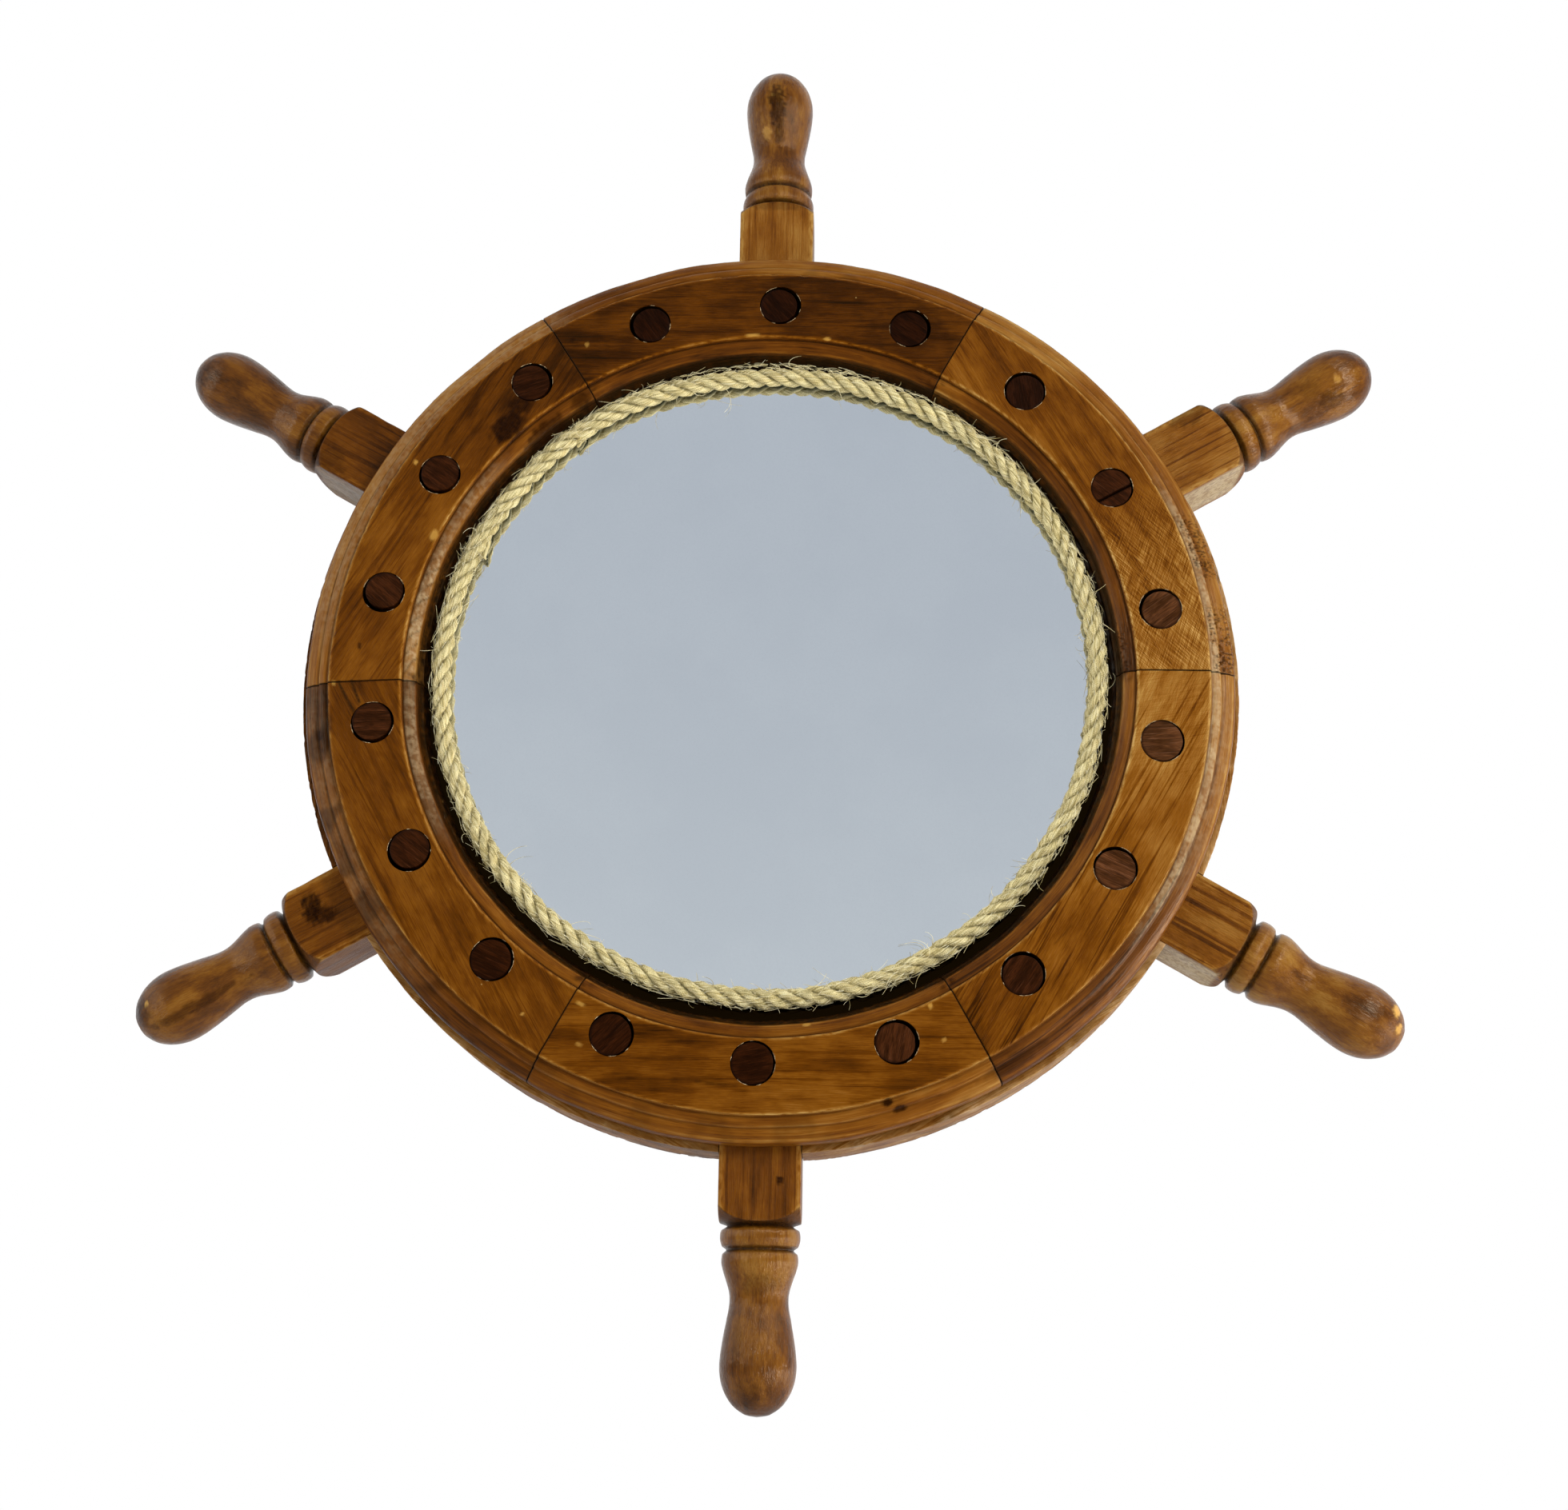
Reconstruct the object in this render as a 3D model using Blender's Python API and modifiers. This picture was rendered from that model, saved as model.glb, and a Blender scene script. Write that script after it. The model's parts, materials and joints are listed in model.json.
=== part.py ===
"""Ship's-wheel mirror: six moulded felloes over six turned spokes, with a round mirror.

The wheel stands upright, as it hangs on a wall. X is to the viewer's right, +Y runs from
the front face to the wall and +Z is up. The origin is the point where the wall hook
carries the hanger ring. Lengths are in metres.

Everything is first placed round the wheel's own axis: the centre of the front face is
(0, 0, 0), depth runs along +Y, and a clock angle is measured clockwise from the top
spoke. The empty "wheel_centre" then carries the whole wheel to its place under the hook.
"""
import math

import bmesh
import bpy
from mathutils import Matrix, Vector

MM = 0.001
GAP = 0.3 * MM              # clearance between neighbouring pieces
MERGE = 0.01 * MM
OVERCUT = 2 * MM            # how far a cutter runs past the surface it cuts
SHARP_ANGLE = math.radians(35)

# Layers, as depths behind the front face
RING_BACK = 14.7 * MM       # back of the moulded front ring
CORE_FRONT = RING_BACK + GAP
SPOKE_SIZE = 33.4 * MM      # square stock of the spokes
CORE_BACK = CORE_FRONT + SPOKE_SIZE
SPOKE_DEPTH = CORE_FRONT + SPOKE_SIZE / 2

# Front ring: six felloes, mitred at joints that were fitted by hand
JOINT_CLOCK = (28.7, 90.35, 150.85, 208.35, 267.35, 327.85)
JOINT_RADIUS = 172 * MM
FELLOE_STEPS = 12
# Mouldings as (radius, depth), from the back of the bore round to the back of the rim
RING_SECTION = (
    (146.5, 14.7), (148.0, 9.5), (150.2, 5.8), (151.0, 4.0), (153.4, 1.8), (155.9, 1.2),
    (156.3, 0.0), (187.0, 0.0), (187.4, 1.3), (190.6, 2.2), (193.0, 4.3), (196.0, 5.2),
    (198.0, 8.0), (198.0, 14.7),
)

# Spokes: (distance from the tip, radius) of the turned handle and its shoulder
SPOKE_COUNT = 6
SPOKE_PITCH = 360 / SPOKE_COUNT
TIP_RADIUS = 305 * MM
TIP_REACH = (0.0, 4.0, 0.0, 0.5, -1.0, 0.0)     # mm, each spoke beyond TIP_RADIUS
HANDLE_PROFILE = (
    (0.0, 0.0), (1.2, 5.5), (3.8, 9.4), (7.5, 12.4), (12.0, 14.5), (19.5, 15.6),
    (27.0, 14.9), (35.0, 13.6), (42.0, 12.2), (46.0, 12.0), (51.0, 12.9), (57.0, 15.0),
    (62.0, 15.4), (65.0, 14.2), (67.0, 15.8), (70.0, 16.3), (73.0, 15.4), (74.5, 14.8),
    (76.0, 17.0), (82.0, 24.6),
)
HANDLE_SEGMENTS = 20
SPOKE_LENGTH = 150.6 * MM

# Core blocks between the spoke roots
CORE_OUTER = 201.2 * MM
CORE_INNER = 153.5 * MM
BLOCK_GAP = 0.8 * MM        # between a block's end and the side of a spoke
BLOCK_STEPS = 12

# Pegs that pin the felloes to the spokes and blocks
PEG_CIRCLE = 168.7 * MM
PEG_SPREAD = 20             # degrees from the middle peg of a felloe to the other two
PEG_TURN = 1                # degrees that the drilled circle is turned from the spokes
PEG_RADIUS = 8.75 * MM
PEG_LENGTH = 32.0 * MM
PEG_SEGMENTS = 14

# Mirror, its backing board and the brads that hold them
GLASS_RADIUS = 152.5 * MM
GLASS_THICKNESS = 3.0 * MM
BOARD_THICKNESS = 4.0 * MM
GLASS_SEGMENTS = 60
BRAD_CLOCK = SPOKE_PITCH / 2 + PEG_TURN     # degrees past each spoke, between two pegs
BRAD_RADIUS = 0.9 * MM
BRAD_INNER = 146.5 * MM
BRAD_OUTER = 165.0 * MM
BRAD_SEGMENTS = 8

# Rope laid round the edge of the glass
ROPE_CIRCLE = 141.0 * MM
ROPE_RADIUS = 3.9 * MM
ROPE_STEPS = 60
ROPE_SEGMENTS = 8

# Hanger on the back of the top spoke
HANGER_RADIUS = 180 * MM    # height of the ring's pivot above the wheel's axis
STRAP_BOTTOM = 156.5 * MM
STRAP_WIDTH = 15 * MM
STRAP_THICKNESS = 1.2 * MM
WIRE_RADIUS = 1.25 * MM
WIRE_PLAY = 0.4 * MM
ROLL_SWEEP = 290            # degrees that the strap is rolled round the wire
ROLL_STEPS = 16
RING_HALF_WIDTH = 11 * MM
RING_SIDE = 6 * MM          # straight part of the ring's sides
RING_CORNER = 3 * MM
CORNER_STEPS = 3
BOW_STEPS = 12
WIRE_RESOLUTION = 2         # rings of faces in each quarter of the wire
HANGER_SCREW_HEIGHTS = (161.5 * MM, 171.0 * MM)
HANGER_SCREW_RADIUS = 1.4 * MM
HANGER_SCREW_LENGTH = 11 * MM
HANGER_HEAD_RADIUS = 3.0 * MM
HANGER_HEAD = 1.3 * MM
HANGER_SCREW_SEGMENTS = 10

STRAP_FRONT = CORE_BACK + GAP
STRAP_BACK = STRAP_FRONT + STRAP_THICKNESS
ROLL_INNER = WIRE_RADIUS + WIRE_PLAY
ROLL_OUTER = ROLL_INNER + STRAP_THICKNESS
PIVOT_DEPTH = STRAP_FRONT + ROLL_OUTER
HOOK_RADIUS = HANGER_RADIUS + RING_SIDE + RING_HALF_WIDTH - WIRE_RADIUS

# Colour, roughness and metallic value of each material
FINISHES = {
    "stained_wood": ((0.24, 0.10, 0.022, 1), 0.38, 0.0),
    "peg_wood": ((0.085, 0.026, 0.014, 1), 0.50, 0.0),
    "mirror": ((0.80, 0.83, 0.88, 1), 0.03, 1.0),
    "hardboard": ((0.20, 0.12, 0.06, 1), 0.80, 0.0),
    "sisal": ((0.60, 0.50, 0.30, 1), 0.90, 0.0),
    "steel": ((0.55, 0.55, 0.56, 1), 0.35, 1.0),
    "brass": ((0.78, 0.57, 0.22, 1), 0.30, 1.0),
}


def clear_scene():
    for obj in list(bpy.data.objects):
        bpy.data.objects.remove(obj, do_unlink=True)


def new_collection(name):
    collection = bpy.data.collections.new(name)
    bpy.context.scene.collection.children.link(collection)
    return collection


def finish(obj, kind):
    """Give an object its own material of one of the FINISHES."""
    colour, roughness, metallic = FINISHES[kind]
    material = bpy.data.materials.new(obj.name + "_" + kind)
    material.use_nodes = True
    shader = material.node_tree.nodes["Principled BSDF"]
    shader.inputs["Base Color"].default_value = colour
    shader.inputs["Roughness"].default_value = roughness
    shader.inputs["Metallic"].default_value = metallic
    obj.data.materials.clear()
    obj.data.materials.append(material)


def place(obj, centre, clock=0.0):
    """Hang an object on the wheel's centre and turn it to a clock angle in degrees."""
    obj.parent = centre
    obj.rotation_euler = (0.0, math.radians(clock), 0.0)


def add_object(name, mesh, collection):
    obj = bpy.data.objects.new(name, mesh)
    collection.objects.link(obj)
    return obj


def soften(mesh):
    """Shade rounded faces smooth and keep the corners sharp."""
    mesh.shade_smooth()
    mesh.set_sharp_from_angle(angle=SHARP_ANGLE)


def mesh_from(bm, name):
    """Close a bmesh into a mesh with its faces out."""
    bmesh.ops.recalc_face_normals(bm, faces=bm.faces)
    mesh = bpy.data.meshes.new(name)
    bm.to_mesh(mesh)
    bm.free()
    soften(mesh)
    return mesh


def cut(obj, cutter, operation="DIFFERENCE"):
    modifier = obj.modifiers.new(cutter.name, "BOOLEAN")
    modifier.operation = operation
    modifier.object = cutter
    modifier.solver = "EXACT"


def baked_mesh(obj):
    """The evaluated mesh of a temporary object, which is removed."""
    bpy.context.view_layer.update()
    graph = bpy.context.evaluated_depsgraph_get()
    mesh = bpy.data.meshes.new_from_object(obj.evaluated_get(graph))
    bpy.data.objects.remove(obj, do_unlink=True)
    return mesh


def lathe(name, profile, segments, collection):
    """A solid turned about local Z; the profile (radius, height) runs from top to bottom."""
    mesh = bpy.data.meshes.new(name)
    points = [(radius, 0.0, height) for radius, height in profile]
    mesh.from_pydata(points, [(i, i + 1) for i in range(len(points) - 1)], [])
    obj = add_object(name, mesh, collection)
    screw = obj.modifiers.new("Lathe", "SCREW")
    screw.axis = "Z"
    screw.steps = segments
    screw.render_steps = segments
    screw.use_merge_vertices = True
    screw.merge_threshold = MERGE
    screw.use_smooth_shade = True
    return obj


def cutter_group(name, mesh, matrices, collection):
    """A cutter that holds a separate copy of a solid at each matrix."""
    bm = bmesh.new()
    for matrix in matrices:
        part = mesh.copy()
        part.transform(matrix)
        bm.from_mesh(part)
        bpy.data.meshes.remove(part)
    obj = add_object(name, mesh_from(bm, name), collection)
    obj.hide_render = True
    obj.display_type = "WIRE"
    return obj


def swept_mesh(name, section, start, end, steps):
    """A (radius, depth) section swept clockwise round the wheel's axis between two angles."""
    bm = bmesh.new()
    turn = Matrix.Rotation(math.radians(start), 3, "Y")
    verts = [bm.verts.new(turn @ Vector((0.0, depth, radius))) for radius, depth in section]
    edges = [bm.edges.new((a, b)) for a, b in zip(verts, verts[1:] + verts[:1])]
    bmesh.ops.spin(
        bm, geom=verts + edges, cent=(0, 0, 0), axis=(0, 1, 0),
        angle=math.radians(end - start), steps=steps, use_merge=False,
    )
    bmesh.ops.holes_fill(bm, edges=[e for e in bm.edges if e.is_boundary], sides=0)
    return mesh_from(bm, name)


def extruded_mesh(name, outline, offset):
    """A flat outline pushed along the vector offset into a solid."""
    bm = bmesh.new()
    face = bm.faces.new([bm.verts.new(point) for point in outline])
    far_side = bmesh.ops.extrude_face_region(bm, geom=[face], use_keep_orig=True)
    moved = [v for v in far_side["geom"] if isinstance(v, bmesh.types.BMVert)]
    bmesh.ops.translate(bm, verts=moved, vec=offset)
    return mesh_from(bm, name)


def take_over(obj, name, collection):
    """Name a primitive, move it to a collection and apply its transform to its mesh."""
    obj.name = name
    for old in obj.users_collection:
        old.objects.unlink(obj)
    collection.objects.link(obj)
    obj.data.transform(obj.matrix_basis)
    obj.matrix_basis = Matrix.Identity(4)
    soften(obj.data)
    return obj


def facing_disc(name, radius, front, thickness, segments, collection, height=0.0):
    """A cylinder along the wheel's axis, its front face at a depth."""
    bpy.ops.mesh.primitive_cylinder_add(
        vertices=segments, radius=radius, depth=thickness,
        location=(0.0, front + thickness / 2, height), rotation=(math.pi / 2, 0.0, 0.0),
    )
    return take_over(bpy.context.object, name, collection)


def rod_profile(radius, top, bottom):
    return ((0.0, top), (radius, top), (radius, bottom), (0.0, bottom))


def peg_clocks():
    """Clock angles of the pegs, felloe by felloe."""
    spread = (-PEG_SPREAD, 0, PEG_SPREAD)
    return [k * SPOKE_PITCH + s + PEG_TURN for k in range(SPOKE_COUNT) for s in spread]


def peg_bores(tools):
    """Cutter for the peg holes through the front ring and into the core."""
    length = OVERCUT + PEG_LENGTH + GAP
    bore = facing_disc("bore", PEG_RADIUS + GAP, -OVERCUT, length, PEG_SEGMENTS, tools, PEG_CIRCLE)
    turns = [Matrix.Rotation(math.radians(clock), 4, "Y") for clock in peg_clocks()]
    return cutter_group("peg_bores", baked_mesh(bore), turns, tools)


def brad_depth():
    return CORE_FRONT + GLASS_THICKNESS + BOARD_THICKNESS + 2 * GAP + BRAD_RADIUS


def brad_clocks():
    return [k * SPOKE_PITCH + BRAD_CLOCK for k in range(SPOKE_COUNT)]


def brad_holes(tools):
    profile = rod_profile(BRAD_RADIUS + GAP, BRAD_OUTER + GAP, BRAD_INNER)
    hole = baked_mesh(lathe("brad_hole", profile, BRAD_SEGMENTS, tools))
    shift = Matrix.Translation((0.0, brad_depth(), 0.0))
    places = [Matrix.Rotation(math.radians(clock), 4, "Y") @ shift for clock in brad_clocks()]
    return cutter_group("brad_holes", hole, places, tools)


def hanger_screw_holes(tools):
    start = STRAP_FRONT - HANGER_SCREW_LENGTH - GAP
    length = HANGER_SCREW_LENGTH + STRAP_THICKNESS + OVERCUT
    radius = HANGER_SCREW_RADIUS + GAP
    hole = facing_disc("screw_hole", radius, start, length, HANGER_SCREW_SEGMENTS, tools)
    places = [Matrix.Translation((0.0, 0.0, height)) for height in HANGER_SCREW_HEIGHTS]
    return cutter_group("hanger_screw_holes", baked_mesh(hole), places, tools)


def add_felloes(centre, parts, bores):
    section = [(radius * MM, depth * MM) for radius, depth in RING_SECTION]
    half_gap = math.degrees(GAP / 2 / JOINT_RADIUS)
    starts = (JOINT_CLOCK[-1] - 360,) + JOINT_CLOCK[:-1]
    for k, (start, end) in enumerate(zip(starts, JOINT_CLOCK), 1):
        name = "front_felloe_%d" % k
        mesh = swept_mesh(name, section, start + half_gap, end - half_gap, FELLOE_STEPS)
        obj = add_object(name, mesh, parts)
        place(obj, centre)
        cut(obj, bores)
        finish(obj, "stained_wood")


def spoke_mesh(tools):
    """A turned handle that runs into square stock, its tip at the local origin."""
    root = HANDLE_PROFILE[-1][1] * MM
    bottom = -SPOKE_LENGTH - OVERCUT
    profile = [(radius * MM, -distance * MM) for distance, radius in HANDLE_PROFILE]
    profile += [(root, bottom), (0.0, bottom)]
    turning = lathe("spoke_turning", profile, HANDLE_SEGMENTS, tools)
    bpy.ops.mesh.primitive_cube_add(size=1.0)
    stock = bpy.context.object
    size = (SPOKE_SIZE, SPOKE_SIZE, SPOKE_LENGTH + OVERCUT, 1.0)
    middle = (0.0, 0.0, (OVERCUT - SPOKE_LENGTH) / 2)
    stock.data.transform(Matrix.Translation(middle) @ Matrix.Diagonal(size))
    cut(stock, turning, "INTERSECT")
    mesh = baked_mesh(stock)
    bpy.data.objects.remove(turning, do_unlink=True)
    soften(mesh)
    return mesh


def add_spokes(centre, parts, tools, bores, hanger_holes):
    mesh = spoke_mesh(tools)
    for k, reach in enumerate(TIP_REACH):
        clock = k * SPOKE_PITCH
        obj = add_object("spoke_%d" % (k + 1), mesh.copy(), parts)
        place(obj, centre, clock)
        out = Matrix.Rotation(math.radians(clock), 3, "Y") @ Vector((0, 0, TIP_RADIUS + reach * MM))
        obj.location = out + Vector((0.0, SPOKE_DEPTH, 0.0))
        cut(obj, bores)
        if k == 0:
            cut(obj, hanger_holes)
        finish(obj, "stained_wood")


def block_outline():
    """Outline of a core block clockwise of the top spoke, its ends square to the spokes."""
    half_slot = SPOKE_SIZE / 2 + BLOCK_GAP

    def arc(radius):
        edge = math.asin(half_slot / radius)
        sweep = math.radians(SPOKE_PITCH) - 2 * edge
        clocks = [edge + sweep * i / BLOCK_STEPS for i in range(BLOCK_STEPS + 1)]
        return [(radius * math.sin(c), CORE_FRONT, radius * math.cos(c)) for c in clocks]

    return arc(CORE_OUTER) + arc(CORE_INNER)[::-1]


def add_blocks(centre, parts, bores, brads):
    for k in range(SPOKE_COUNT):
        name = "core_block_%d" % (k + 1)
        mesh = extruded_mesh(name, block_outline(), (0.0, SPOKE_SIZE, 0.0))
        obj = add_object(name, mesh, parts)
        place(obj, centre, k * SPOKE_PITCH)
        cut(obj, bores)
        cut(obj, brads)
        finish(obj, "stained_wood")


def add_pegs(centre, parts):
    for number, clock in enumerate(peg_clocks(), 1):
        name = "peg_%02d" % number
        obj = facing_disc(name, PEG_RADIUS, 0.0, PEG_LENGTH, PEG_SEGMENTS, parts, PEG_CIRCLE)
        place(obj, centre, clock)
        finish(obj, "peg_wood")


def add_mirror(centre, parts):
    glass = facing_disc("mirror_glass", GLASS_RADIUS, CORE_FRONT, GLASS_THICKNESS, GLASS_SEGMENTS, parts)
    place(glass, centre)
    finish(glass, "mirror")
    front = CORE_FRONT + GLASS_THICKNESS + GAP
    board = facing_disc("backing_board", GLASS_RADIUS, front, BOARD_THICKNESS, GLASS_SEGMENTS, parts)
    place(board, centre)
    finish(board, "hardboard")
    for number, clock in enumerate(brad_clocks(), 1):
        profile = rod_profile(BRAD_RADIUS, BRAD_OUTER, BRAD_INNER)
        brad = lathe("retaining_brad_%d" % number, profile, BRAD_SEGMENTS, parts)
        place(brad, centre, clock)
        brad.location = (0.0, brad_depth(), 0.0)
        finish(brad, "steel")


def add_rope(centre, parts):
    bpy.ops.mesh.primitive_torus_add(
        major_radius=ROPE_CIRCLE, minor_radius=ROPE_RADIUS,
        major_segments=ROPE_STEPS, minor_segments=ROPE_SEGMENTS,
        location=(0.0, CORE_FRONT - GAP - ROPE_RADIUS, 0.0), rotation=(math.pi / 2, 0.0, 0.0),
    )
    rope = take_over(bpy.context.object, "rope_trim", parts)
    place(rope, centre)
    finish(rope, "sisal")


def strap_outline():
    """Side view of the strap: flat below, and rolled round the wire at its top."""
    angles = [math.radians(180 - ROLL_SWEEP * i / ROLL_STEPS) for i in range(ROLL_STEPS + 1)]

    def roll(radius, order):
        return [(PIVOT_DEPTH + radius * math.cos(a), HANGER_RADIUS + radius * math.sin(a)) for a in order]

    side = [(STRAP_FRONT, STRAP_BOTTOM)] + roll(ROLL_OUTER, angles)
    side += roll(ROLL_INNER, angles[::-1]) + [(STRAP_BACK, STRAP_BOTTOM)]
    return [(-STRAP_WIDTH / 2, depth, height) for depth, height in side]


def ring_path():
    """Points round the hanger ring, with its straight bar on the pivot line."""
    def arc(x, z, radius, first, last, steps):
        angles = [math.radians(first + (last - first) * i / steps) for i in range(steps + 1)]
        return [(x + radius * math.cos(a), 0.0, z + radius * math.sin(a)) for a in angles]

    inset = RING_HALF_WIDTH - RING_CORNER
    path = arc(inset, RING_CORNER, RING_CORNER, -90, 0, CORNER_STEPS)
    path += arc(0.0, RING_SIDE, RING_HALF_WIDTH, 0, 180, BOW_STEPS)
    return path + arc(-inset, RING_CORNER, RING_CORNER, 180, 270, CORNER_STEPS)


def add_hanger(centre, parts, holes):
    strap = add_object(
        "hanger_strap",
        extruded_mesh("hanger_strap", strap_outline(), (STRAP_WIDTH, 0.0, 0.0)), parts,
    )
    place(strap, centre)
    cut(strap, holes)
    finish(strap, "brass")

    curve = bpy.data.curves.new("hanger_ring", "CURVE")
    curve.dimensions = "3D"
    curve.bevel_depth = WIRE_RADIUS
    curve.bevel_resolution = WIRE_RESOLUTION
    path = ring_path()
    spline = curve.splines.new("POLY")
    spline.points.add(len(path) - 1)
    for point, place_at in zip(spline.points, path):
        point.co = (*place_at, 1.0)
    spline.use_cyclic_u = True
    ring = add_object("hanger_ring", curve, parts)
    ring.location = (0.0, PIVOT_DEPTH, HANGER_RADIUS)
    ring.parent = centre
    finish(ring, "brass")

    profile = (
        (0.0, HANGER_HEAD), (HANGER_HEAD_RADIUS, HANGER_HEAD), (HANGER_HEAD_RADIUS, 0.0),
        (HANGER_SCREW_RADIUS, 0.0), (HANGER_SCREW_RADIUS, -HANGER_SCREW_LENGTH),
        (0.0, -HANGER_SCREW_LENGTH),
    )
    for number, height in enumerate(HANGER_SCREW_HEIGHTS, 1):
        screw = lathe("hanger_screw_%d" % number, profile, HANGER_SCREW_SEGMENTS, parts)
        screw.parent = centre
        screw.location = (0.0, STRAP_BACK + GAP, height)
        screw.rotation_euler = (-math.pi / 2, 0.0, 0.0)
        finish(screw, "brass")


def main():
    clear_scene()
    parts = new_collection("ship_wheel_mirror")
    tools = new_collection("cutters")
    centre = bpy.data.objects.new("wheel_centre", None)
    parts.objects.link(centre)
    centre.location = (0.0, -PIVOT_DEPTH, -HOOK_RADIUS)
    bores = peg_bores(tools)
    brads = brad_holes(tools)
    hanger_holes = hanger_screw_holes(tools)
    for cutter in (bores, brads, hanger_holes):
        cutter.parent = centre
    add_felloes(centre, parts, bores)
    add_spokes(centre, parts, tools, bores, hanger_holes)
    add_blocks(centre, parts, bores, brads)
    add_pegs(centre, parts)
    add_mirror(centre, parts)
    add_rope(centre, parts)
    add_hanger(centre, parts, hanger_holes)


main()
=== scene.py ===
"""Looks of the ship's-wheel mirror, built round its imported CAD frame.

Shapes are worked out in wheel coordinates, in millimetres: x to the viewer's right, depth
behind the front face, and z up, from the centre of the front face. A clock angle runs
clockwise from the top spoke. build_piece() moves each finished shape into the row frame.
"""
import functools
import json
import math
import random

import bmesh
import bpy
import numpy as np
from mathutils import Matrix, Vector, kdtree, noise


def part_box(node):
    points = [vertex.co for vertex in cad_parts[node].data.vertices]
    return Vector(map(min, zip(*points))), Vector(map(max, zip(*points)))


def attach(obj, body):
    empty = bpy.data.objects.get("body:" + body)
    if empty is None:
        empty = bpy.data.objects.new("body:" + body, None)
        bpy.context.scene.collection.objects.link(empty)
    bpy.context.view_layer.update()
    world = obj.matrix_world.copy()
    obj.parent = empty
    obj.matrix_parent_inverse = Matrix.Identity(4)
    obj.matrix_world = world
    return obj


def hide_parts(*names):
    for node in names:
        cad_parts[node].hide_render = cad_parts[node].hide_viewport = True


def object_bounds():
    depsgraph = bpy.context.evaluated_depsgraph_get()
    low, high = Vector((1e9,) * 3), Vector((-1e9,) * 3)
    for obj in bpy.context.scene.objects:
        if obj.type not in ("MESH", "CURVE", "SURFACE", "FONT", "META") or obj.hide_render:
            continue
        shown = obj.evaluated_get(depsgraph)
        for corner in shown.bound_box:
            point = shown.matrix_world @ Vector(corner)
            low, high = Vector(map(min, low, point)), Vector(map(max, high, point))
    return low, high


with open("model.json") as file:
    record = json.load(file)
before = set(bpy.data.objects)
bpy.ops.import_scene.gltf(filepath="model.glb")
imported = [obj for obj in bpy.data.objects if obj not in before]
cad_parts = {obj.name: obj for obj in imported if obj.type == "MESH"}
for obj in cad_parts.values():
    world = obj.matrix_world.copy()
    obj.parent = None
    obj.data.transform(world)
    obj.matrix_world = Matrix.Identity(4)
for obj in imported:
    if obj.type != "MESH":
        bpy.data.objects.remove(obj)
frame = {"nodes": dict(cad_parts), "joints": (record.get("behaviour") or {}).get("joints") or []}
CAD_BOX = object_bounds()

MM = 0.001
SEED = 7
SHARP = math.radians(38)
GRAIN_SHIFT = 400.0                 # mm between the pieces' places in the same wood

# Frame: where the wheel is and how big its parts are
GLASS_LOW, GLASS_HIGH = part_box("mirror_glass")
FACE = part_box("front_felloe_1")[0].y
CENTRE = np.array([(GLASS_LOW.x + GLASS_HIGH.x) / 2, FACE, (GLASS_LOW.z + GLASS_HIGH.z) / 2])
FORWARD = np.array([0.0, -1.0, 0.0])
SPOKES = 6
PITCH = 360 / SPOKES
ARC_RADIUS = 172                    # mm, where lengths round the ring are measured
DEGREES_PER_MM = math.degrees(1 / ARC_RADIUS)
FRONT_DEPTH = 10                    # mm behind the face; what lies deeper on the ring isn't seen

# Front ring section: (radius, depth, bulge of the curve that leads here, steps)
RING_SECTION = (
    (146.6, 14.7, 0.0, 16), (147.9, 9.4, -0.5, 10), (149.6, 5.9, -0.4, 7), (150.1, 4.3, 0.0, 3),
    (150.7, 3.7, 0.1, 3), (155.0, 1.9, 0.5, 10), (155.5, 1.9, 0.0, 2), (155.8, 0.5, 0.0, 3),
    (156.5, 0.0, 0.05, 2), (186.3, 0.0, 0.0, 40), (187.0, 0.4, 0.05, 2), (187.3, 1.7, 0.0, 3),
    (187.8, 1.8, 0.0, 2),
    (191.3, 2.8, 0.45, 9), (191.9, 3.9, -0.1, 3), (196.1, 5.6, 0.35, 10), (198.0, 8.4, 0.5, 8),
    (198.0, 14.7, 0.1, 12),
)
ARRISES = ((156.2, 0.2), (186.7, 0.2))
LESSER_ARRISES = ((191.4, 2.8), (196.6, 6.0), (150.4, 4.0))
RIM_ARRISES = ((198.0, 8.6), (198.0, 14.7))
QUIRKS = ((155.4, 1.9), (149.4, 6.3))
LESSER_QUIRKS = ((187.4, 1.8), (191.9, 4.0))
RING_DROP = 2.6                     # the ring's circles are centred this far below the pegs' circle
FELLOE_STEP = 0.9                   # mm between a felloe's rings of points
TORN_FELLOE = 2                     # the felloe whose grain tore under the cutter
FINE_STEP = 0.5
PEG_SIDES = 96
BORE_PLAY = 0.45                    # how much wider than its CAD peg a bore is, in radius

# Each felloe's face, outer and inner mouldings, at its start, middle and end
FELLOE_TONES = (
    ((0.23, 0.26, 0.23), (0.42, 0.56, 0.50), (0.36, 0.38, 0.33)),
    ((0.44, 0.44, 0.63), (0.68, 0.70, 0.58), (0.48, 0.36, 0.24)),
    ((0.67, 0.50, 0.39), (0.62, 0.50, 0.33), (0.42, 0.42, 0.22)),
    ((0.43, 0.43, 0.41), (0.52, 0.50, 0.38), (0.46, 0.46, 0.40)),
    ((0.40, 0.42, 0.41), (0.33, 0.38, 0.27), (0.54, 0.54, 0.50)),
    ((0.44, 0.41, 0.20), (0.54, 0.56, 0.60), (0.62, 0.44, 0.28)),
)
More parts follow.
